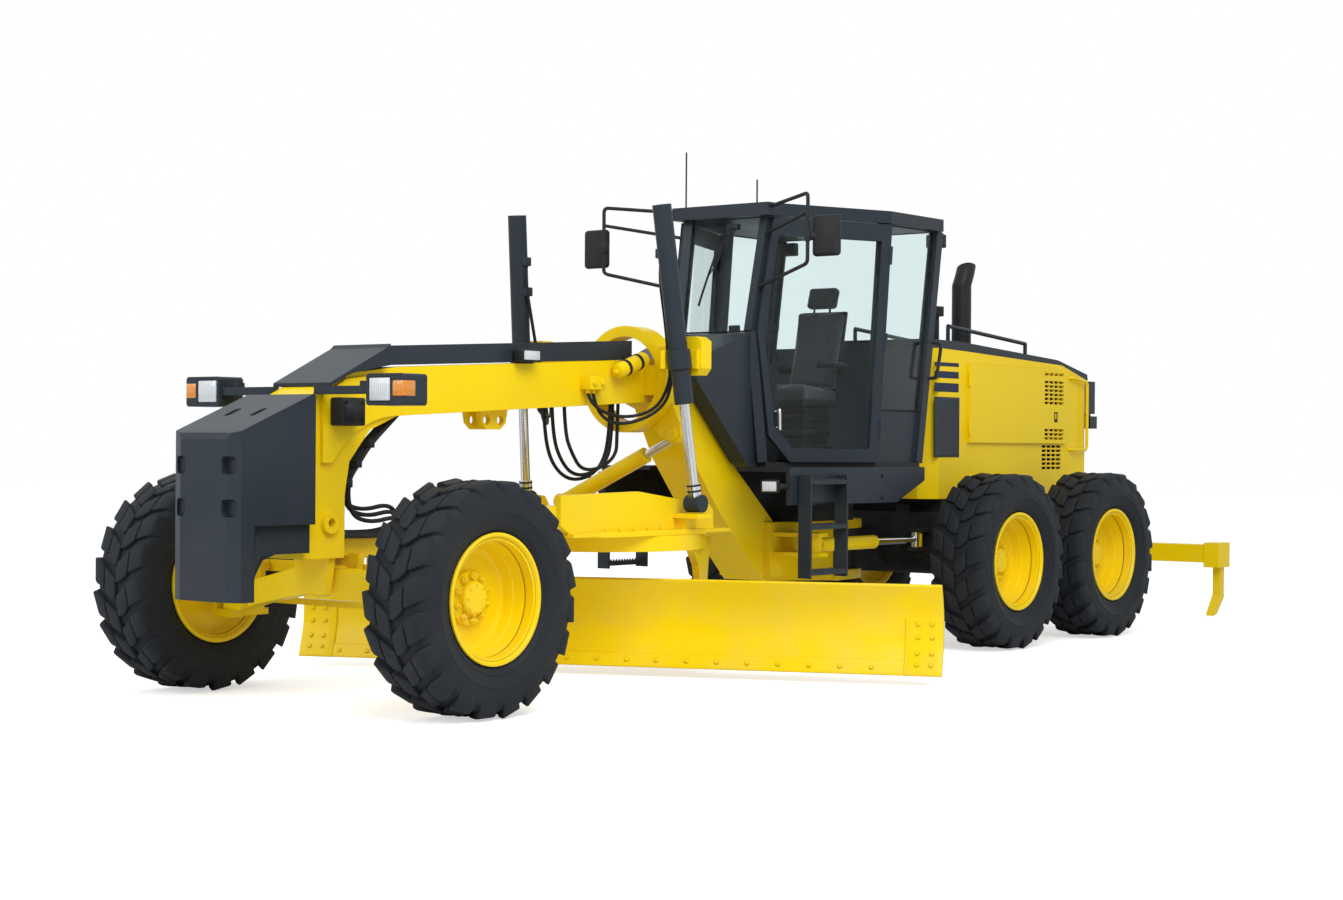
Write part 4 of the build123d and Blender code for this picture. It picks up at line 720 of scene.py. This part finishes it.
fitted("blade_bolts", coated(hex_bolts(blade_seats, 0.024), yellow_enamel), "blade")

# Hydraulic cylinders: dark barrels at the lift, yellow at the frame, each with
# a hard chrome rod; the lift rods carry a black wiper boot above their eyes.
chrome, chrome_tree, chrome_shader = made("hard_chrome")
tuned(chrome_shader, {"Base Color": (0.66, 0.67, 0.68, 1), "Metallic": 1.0})
chrome_spot = wired(chrome_tree, "ShaderNodeTexCoord").outputs["Object"]
chrome_wipe = wired(chrome_tree, "ShaderNodeTexNoise", {"Vector": chrome_spot, "Scale": 40.0, "Detail": 4.0})
chrome_film = wired(chrome_tree, "ShaderNodeMapRange", {"Value": chrome_wipe.outputs["Fac"], "To Min": 0.10,
                                                        "To Max": 0.26})
chrome_tree.links.new(chrome_film.outputs[0], chrome_shader.inputs["Roughness"])
paint_nodes(chrome, "lift_rod_left", "lift_rod_right", "centre_rod", "artic_rod_left", "artic_rod_right")
for side in ("left", "right"):
    paint_part(slate_enamel, "lift_rod_" + side, lambda centre: centre.z < 1.185)
    paint_part(yellow_enamel, "artic_rod_" + side, lambda centre: centre.x < -5.56)
paint_part(yellow_enamel, "centre_rod", lambda centre: centre.y > 0.27)
paint_nodes(slate_enamel, "lift_barrels")
paint_nodes(yellow_enamel, "artic_barrel_left", "artic_barrel_right")
lift_eye, lift_top = Vector((-2.525, 0.727, 1.120)), Vector((-2.290, 0.618, 3.020))
boot = [bar(lift_eye.lerp(lift_top, low), lift_eye.lerp(lift_top, high), width, 0.006, 32)
        for low, high, width in ((0.036, 0.047, 0.046), (0.045, 0.057, 0.041), (0.055, 0.066, 0.046))]
fitted_pair("lift_boot_", coated(boot, plastic), "lift_rod_")

# Cab shell, doors and steps: roll-over frame with pressed skins in the dark
# paint, standing on a black pedestal over the gooseneck, with bolted side skirts.
paint_nodes(slate_enamel, "cab_frame", "cab_door_left", "cab_door_right", "steps")
paint_nodes(black_steel, "cab_base")
paint_part(slate_enamel, "cab_base", lambda centre: abs(centre.y) > 0.815)
skirt_seats = [landed(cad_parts["cab_base"], (bolt_x, 1.2, bolt_z), (0, -1, 0))
               for bolt_x in (-3.60, -4.10, -4.60) for bolt_z in (1.285, 1.13)]
fitted("skirt_bolts", coated(both_sides(hex_bolts(skirt_seats, 0.022)), black_steel), "front")
bpy.ops.object.select_all(action="DESELECT")
bpy.ops.mesh.primitive_cone_add(vertices=4, radius1=0.0150, radius2=0.003, depth=0.018)
tooth = rounded(bpy.context.object, 0.0015, 1)
tread_teeth = []
for rung_z in (0.62, 0.93, 1.235):
    rung_top = landed(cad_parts["steps"], (-3.77, 0.88, rung_z + 0.06), (0, 0, -1))[0].z
    for tooth_y in (0.842, 0.918):
        for place in range(13):
            seat_spot = (-3.959 + 0.0315 * place, tooth_y, rung_top + 0.008)
            tread_teeth.append(copied(tooth, Matrix.Translation(seat_spot)))
bpy.data.objects.remove(tooth)
fitted("step_teeth", coated(both_sides(tread_teeth), slate_enamel), "front")
step_lamp = work_lamp((-0.03, -0.06, 1.178), (0.03, 0.06, 1.266), (1, 0, 0), clear_lens, plastic)
for part in step_lamp:
    part.data.transform(Matrix.Translation((-3.305, 0.76, 0)) @ Matrix.Rotation(radians(22), 4, "Z"))
step_lamp += coated([block((-3.505, 0.7985, 1.205), (-3.32, 0.8105, 1.240), 0.003)], black_steel)
fitted("step_lamps", both_sides(step_lamp), "front")
grab = hose([(-5.30, 0.765, 2.00), (-5.315, 0.825, 2.00), (-5.318, 0.832, 2.03), (-5.345, 0.832, 2.13),
             (-5.372, 0.832, 2.235), (-5.372, 0.825, 2.265), (-5.355, 0.765, 2.265)], 0.013)
fitted("cab_grab_rails", coated(both_sides([grab]), black_steel), "front")
roof_lamps = work_lamp((-5.585, 0.60, 2.985), (-5.52, 0.745, 3.085), (-1, 0, 0), clear_lens, plastic)
fitted("roof_rear_lamps", both_sides(roof_lamps), "front")

# Cab glass: flat green-tinted safety glass held in rubber beads, with a black
# wiper that hangs over the windscreen from a small housing under the roof.
glass, _, glass_shader = made("tinted_glass")
tuned(glass_shader, {"Base Color": (0.84, 0.915, 0.918, 1), "Roughness": 0.015, "Transmission Weight": 1.0,
                     "IOR": 1.2})
paint_nodes(glass, "cab_glass", "door_glass_left", "door_glass_right")


def gaskets(node, body, smallest):
    """Rubber beads round the broad faces of the panes in a glass node, both sides."""
    cut = copied(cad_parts[node], Matrix.Translation(-STATION))
    cut.parent = None
    cut.matrix_world = Matrix.Identity(4)
    alone(cut)
    bpy.ops.object.mode_set(mode="EDIT")
    bpy.ops.mesh.select_all(action="SELECT")
    bpy.ops.mesh.remove_doubles(threshold=0.0003)
    bpy.ops.mesh.dissolve_limited(angle_limit=radians(2))
    bpy.ops.object.mode_set(mode="OBJECT")
    rings = [[cut.data.vertices[corner].co.copy() for corner in face.vertices]
             for face in cut.data.polygons if face.area > smallest]
    bpy.data.objects.remove(cut)
    beads = [hose(ring, 0.009, True) for ring in rings]
    fitted("seal_" + node, coated(beads, hose_rubber), body)


gaskets("cab_glass", "front", 0.05)
gaskets("door_glass_left", "cab_door_left", 0.1)
gaskets("door_glass_right", "cab_door_right", 0.1)
arm_line = [(-3.778, 0.075, 3.035), (-3.765, 0.06, 3.00), (-3.752, 0.0, 2.88), (-3.735, -0.09, 2.72)]
guide_line = [(-3.778, 0.125, 3.035), (-3.765, 0.11, 3.00), (-3.750, 0.03, 2.86), (-3.733, -0.085, 2.70)]
squeegee_line = [(-3.765, -0.03, 2.90), (-3.745, -0.075, 2.76), (-3.725, -0.12, 2.62), (-3.708, -0.16, 2.48)]
wiper = [hose(arm_line, 0.006), hose(guide_line, 0.005),
         block((-3.795, 0.045, 3.012), (-3.755, 0.145, 3.052), 0.008), hose(squeegee_line, 0.008)]
fitted("screen_wiper", coated(wiper, plastic), "front")

# Door handles: bright plated bars on the leading edge of each door, each on
# two stand-offs screwed through the door's skin.
HANDLE_OUT, HANDLE_ROOT = 0.045, 0.02
door_normal = Vector((0.372, 0.927, 0.036))
handle_low, handle_high = Vector((-3.83, 0.437, 1.60)), Vector((-3.83, 0.433, 1.75))
handle = [bar(handle_low + door_normal * HANDLE_OUT, handle_high + door_normal * HANDLE_OUT, 0.011, 0.004)]
for share in (0.12, 0.88):
    stand = handle_low.lerp(handle_high, share)
    handle.append(bar(stand - door_normal * HANDLE_ROOT, stand + door_normal * HANDLE_OUT, 0.009, 0.003))
fitted_pair("door_handle_", coated(handle, chrome), "cab_door_")

# Seat: foam pads under woven black cloth on a sprung pedestal with a rubber
# bellows. Each pad's cover swells under a little pressure, held to a cap.
PAD_VOXEL, PAD_PRESSURE, PAD_FRAMES, PAD_CAP = 0.009, 4.0, 20, 0.022
seat_cloth, cloth_tree, cloth_shader = made("seat_cloth")
cloth_spot = wired(cloth_tree, "ShaderNodeTexCoord").outputs["Object"]
cloth_warp, cloth_weft = [
    wired(cloth_tree, "ShaderNodeTexWave", {"Vector": cloth_spot, "Scale": 140.0}, bands_direction=way)
    for way in ("Y", "DIAGONAL")]
cloth_weave = wired(cloth_tree, "ShaderNodeMath", {0: cloth_warp.outputs["Fac"],
                                                   1: cloth_weft.outputs["Fac"]}, operation="MULTIPLY")
cloth_tone = wired(cloth_tree, "ShaderNodeMix", {"Factor": cloth_weave.outputs[0],
                                                 6: (0.018, 0.019, 0.022, 1),
                                                 7: (0.050, 0.052, 0.058, 1)}, data_type="RGBA")
cloth_tree.links.new(cloth_tone.outputs[2], cloth_shader.inputs["Base Color"])
cloth_bump = wired(cloth_tree, "ShaderNodeBump", {"Height": cloth_weave.outputs[0], "Strength": 0.3,
                                                  "Distance": 0.001})
cloth_tree.links.new(cloth_bump.outputs[0], cloth_shader.inputs["Normal"])
tuned(cloth_shader, {"Roughness": 0.85, "Sheen Weight": 0.3})


def stuffed(foam, cap):
    """Foam under cloth: remesh the block, swell its skin by a cloth run and hold it to a cap."""
    alone(foam)
    skin = foam.modifiers.new("skin", "REMESH")
    skin.mode = "VOXEL"
    skin.voxel_size = PAD_VOXEL
    bpy.ops.object.modifier_apply(modifier=skin.name)
    start = [vertex.co.copy() for vertex in foam.data.vertices]
    cover = foam.modifiers.new("cover", "CLOTH")
    cover.settings.use_pressure = True
    cover.settings.uniform_pressure_force = PAD_PRESSURE
    cover.settings.effector_weights.gravity = 0
    for step in range(1, PAD_FRAMES + 1):
        scene.frame_set(step)
    bpy.ops.object.modifier_apply(modifier=cover.name)
    for vertex, place in zip(foam.data.vertices, start):
        moved = vertex.co - place
        if moved.length > cap:
            vertex.co = place + moved * (cap / moved.length)
    smooth = foam.modifiers.new("smooth", "SUBSURF")
    smooth.levels = smooth.render_levels = 1
    bpy.ops.object.modifier_apply(modifier=smooth.name)
    bpy.ops.object.shade_smooth()
    return foam


def pad(middle, size, tilt, edge):
    """A leaning block of foam before it is covered."""
    reach = Vector(size) / 2
    foam = block(-reach, reach, edge, 4)
    foam.data.transform(Matrix.Translation(middle) @ Matrix.Rotation(radians(tilt), 4, "Y"))
    return foam


seat_pads = (("seat_cushion", (-4.695, 0, 1.868), (0.47, 0.46, 0.085), -4, 0.030),
             ("seat_back", (-4.965, 0, 2.205), (0.085, 0.42, 0.62), -12, 0.030),
             ("seat_headrest", (-5.045, 0, 2.600), (0.075, 0.25, 0.16), -18, 0.026))
for pad_name, middle, size, tilt, edge in seat_pads:
    cushion = stuffed(pad(middle, size, tilt, edge), PAD_CAP)
    piece = fitted(pad_name, coated([cushion], seat_cloth), "front")
    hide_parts("seat")
folds = [block((-4.86 - bulge, -0.18 - bulge, low), (-4.54 + bulge, 0.18 + bulge, low + 0.062), 0.020, 3)
         for low, bulge in ((1.50, 0.0), (1.555, 0.015), (1.61, 0.0), (1.665, 0.015), (1.72, 0.0))]
base = [block((-4.90, -0.20, 1.381), (-4.50, 0.20, 1.505), 0.012),
        block((-4.92, -0.21, 1.778), (-4.48, 0.21, 1.835), 0.012)]
stays = [bar((-5.02, stay_y, 2.46), (-5.045, stay_y, 2.58), 0.008, 0.002) for stay_y in (-0.07, 0.07)]
shell = pad((-5.012, 0, 2.205), (0.03, 0.40, 0.60), -12, 0.012)
rests = []
for rest_y in (-0.275, 0.275):
    rests.append(block((-4.93, rest_y - 0.03, 2.06), (-4.58, rest_y + 0.03, 2.11), 0.018, 3))
    rests.append(block((-4.97, rest_y - 0.02, 2.03), (-4.88, rest_y + 0.02, 2.10), 0.012))
    rests.append(block((-4.985, min(0.19, rest_y), 2.035), (-4.93, max(-0.19, rest_y), 2.085), 0.012))
fitted("seat_base", coated(folds + base + stays + [shell] + rests, plastic), "front")

# Console: moulded pod with the steering wheel, and two banks of slim control
# levers with round knobs beside the wheel.
paint_nodes(plastic, "console", "mirrors", "seat")
levers = []
for bank_y in (0.105, 0.128, 0.151, 0.174):
    levers.append(bar((-4.13, bank_y, 2.06), (-4.155, bank_y + 0.03, 2.33), 0.006, 0.001, 12))
    levers.append(bar((-4.153, bank_y + 0.028, 2.31), (-4.160, bank_y + 0.034, 2.365), 0.0145, 0.010, 20))
fitted("control_levers", coated(both_sides(levers), plastic), "front")

# Mirrors: a bent tube loop on each front pillar carries a moulded head, with
# silvered glass let into its back.
mirror_glass, silver_tree, silver_shader = made("silvered_glass")
silver_spot = wired(silver_tree, "ShaderNodeTexCoord").outputs["Object"]
silver_film = wired(silver_tree, "ShaderNodeTexNoise", {"Vector": silver_spot, "Scale": 9.0})
silver_dull = wired(silver_tree, "ShaderNodeMapRange", {"Value": silver_film.outputs["Fac"], "To Min": 0.01,
                                                        "To Max": 0.08})
silver_tree.links.new(silver_dull.outputs[0], silver_shader.inputs["Roughness"])
tuned(silver_shader, {"Base Color": (0.82, 0.84, 0.85, 1), "Metallic": 1.0})
hoop_high, hoop_low = Vector((-3.536, 0.891, 3.203)), Vector((-3.536, 0.891, 2.728))
root_high, root_mid = Vector((-3.80, 0.37, 3.157)), Vector((-3.815, 0.322, 2.968))
root_low = Vector((-3.748, 0.296, 2.588))
drop = Vector((0, 0, 0.07))
hoop = hose([root_high, root_high.lerp(hoop_high, 0.5), root_high.lerp(hoop_high, 0.88), hoop_high,
             hoop_high - drop, (hoop_high + hoop_low) / 2, hoop_low + drop, hoop_low,
             hoop_low.lerp(root_low, 0.11), hoop_low.lerp(root_low, 0.5), root_low], 0.013)
arm = bar(root_mid, hoop_high - Vector((0, 0, 0.128)), 0.012, 0.003, 16)
head = block((-3.627, 0.897, 2.774), (-3.568, 1.113, 3.054), 0.028, 5)
sunk(head, (1, 0, 0), 0.030, (0.006, 0, 0))
joint = bar((-3.545, 0.885, 2.914), (-3.600, 0.93, 2.914), 0.026, 0.006)
collar = bar((-3.536, 0.891, 2.875), (-3.536, 0.891, 2.953), 0.021, 0.005)
mirror_parts = both_sides([hoop, arm, head, joint, collar])
mirror_set = fitted("mirror_set", coated(mirror_parts, plastic), "front")
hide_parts("mirrors")
silver = both_sides([block((-3.6305, 0.922, 2.799), (-3.6245, 1.088, 3.029), 0.0028)])
fitted("mirror_glasses", coated(silver, mirror_glass), "front")

# Rear frame, tandem cases and ripper: heavy welded pieces; the rails are black,
# the cases and ripper yellow.
paint_nodes(black_steel, "rear_frame", "engine")
paint_nodes(yellow_enamel, "tandem_left", "tandem_right", "ripper")

# Engine hood: yellow sheet sides with doors, a dark cap, stack and rear box. The
# side panels carry three plain navy bands and a bare dark plate; doors have latches.
paint_nodes(yellow_enamel, "hood", "hood_door_left", "hood_door_right")
paint_nodes(slate_enamel, "hood_top", "rear_grille")
paint_nodes(black_steel, "exhaust")
navy = enamel("navy_band", (0.008, 0.018, 0.055, 1), 0.36, 0.05)
bands = [block((-6.02, 0.5985, low), (-5.665, 0.6016, high), 0.0006, 1)
         for low, high in ((2.109, 2.138), (2.019, 2.071), (1.914, 1.982))]
fitted("hood_bands", coated(both_sides(bands), navy), "rear")
plate = block((-6.03, 0.598, 1.417), (-5.665, 0.604, 1.875), 0.002, 2)
sunk(plate, (0, 1, 0), 0.018, (0, -0.0025, 0))
fitted("hood_plates", coated(both_sides([plate]), slate_enamel), "rear")
latch = block((-7.556, 0.618, 1.704), (-7.504, 0.630, 1.788), 0.005, 2)
sunk(latch, (0, 1, 0), 0.010, (0, -0.006, 0))
paddle = bar((-7.53, 0.622, 1.722), (-7.53, 0.632, 1.722), 0.010, 0.002, 16)
fitted_pair("hood_latch_", coated([latch, paddle], plastic), "hood_door_")
LOUVRE_X, LOUVRE_STEP, LOUVRE_BAR = -7.591, 0.080, 0.012


def louvre_bars(rows, inside, outside):
    """The upright bars that part each group of air slots into four columns."""
    lines = [LOUVRE_X + LOUVRE_STEP * column for column in range(3)]
    return [block((line, inside, low), (line + LOUVRE_BAR, outside, high), 0.0015, 1)
            for low, high in rows for line in lines]


hood_bars = both_sides(louvre_bars([(1.316, 1.519)], 0.588, 0.599))
fitted("hood_louvre_bars", coated(hood_bars, yellow_enamel), "rear")
door_bars = louvre_bars([(2.081, 2.109), (1.846, 2.044), (1.556, 1.652)], 0.606, 0.6235)
fitted_pair("door_louvre_bars_", coated(door_bars, yellow_enamel), "hood_door_")
tails = both_sides([block((-8.409, 0.446, 1.676), (-8.396, 0.534, 1.750), 0.005, 3)])
fitted("tail_lamp_lenses", coated(tails, red_lens), "rear")
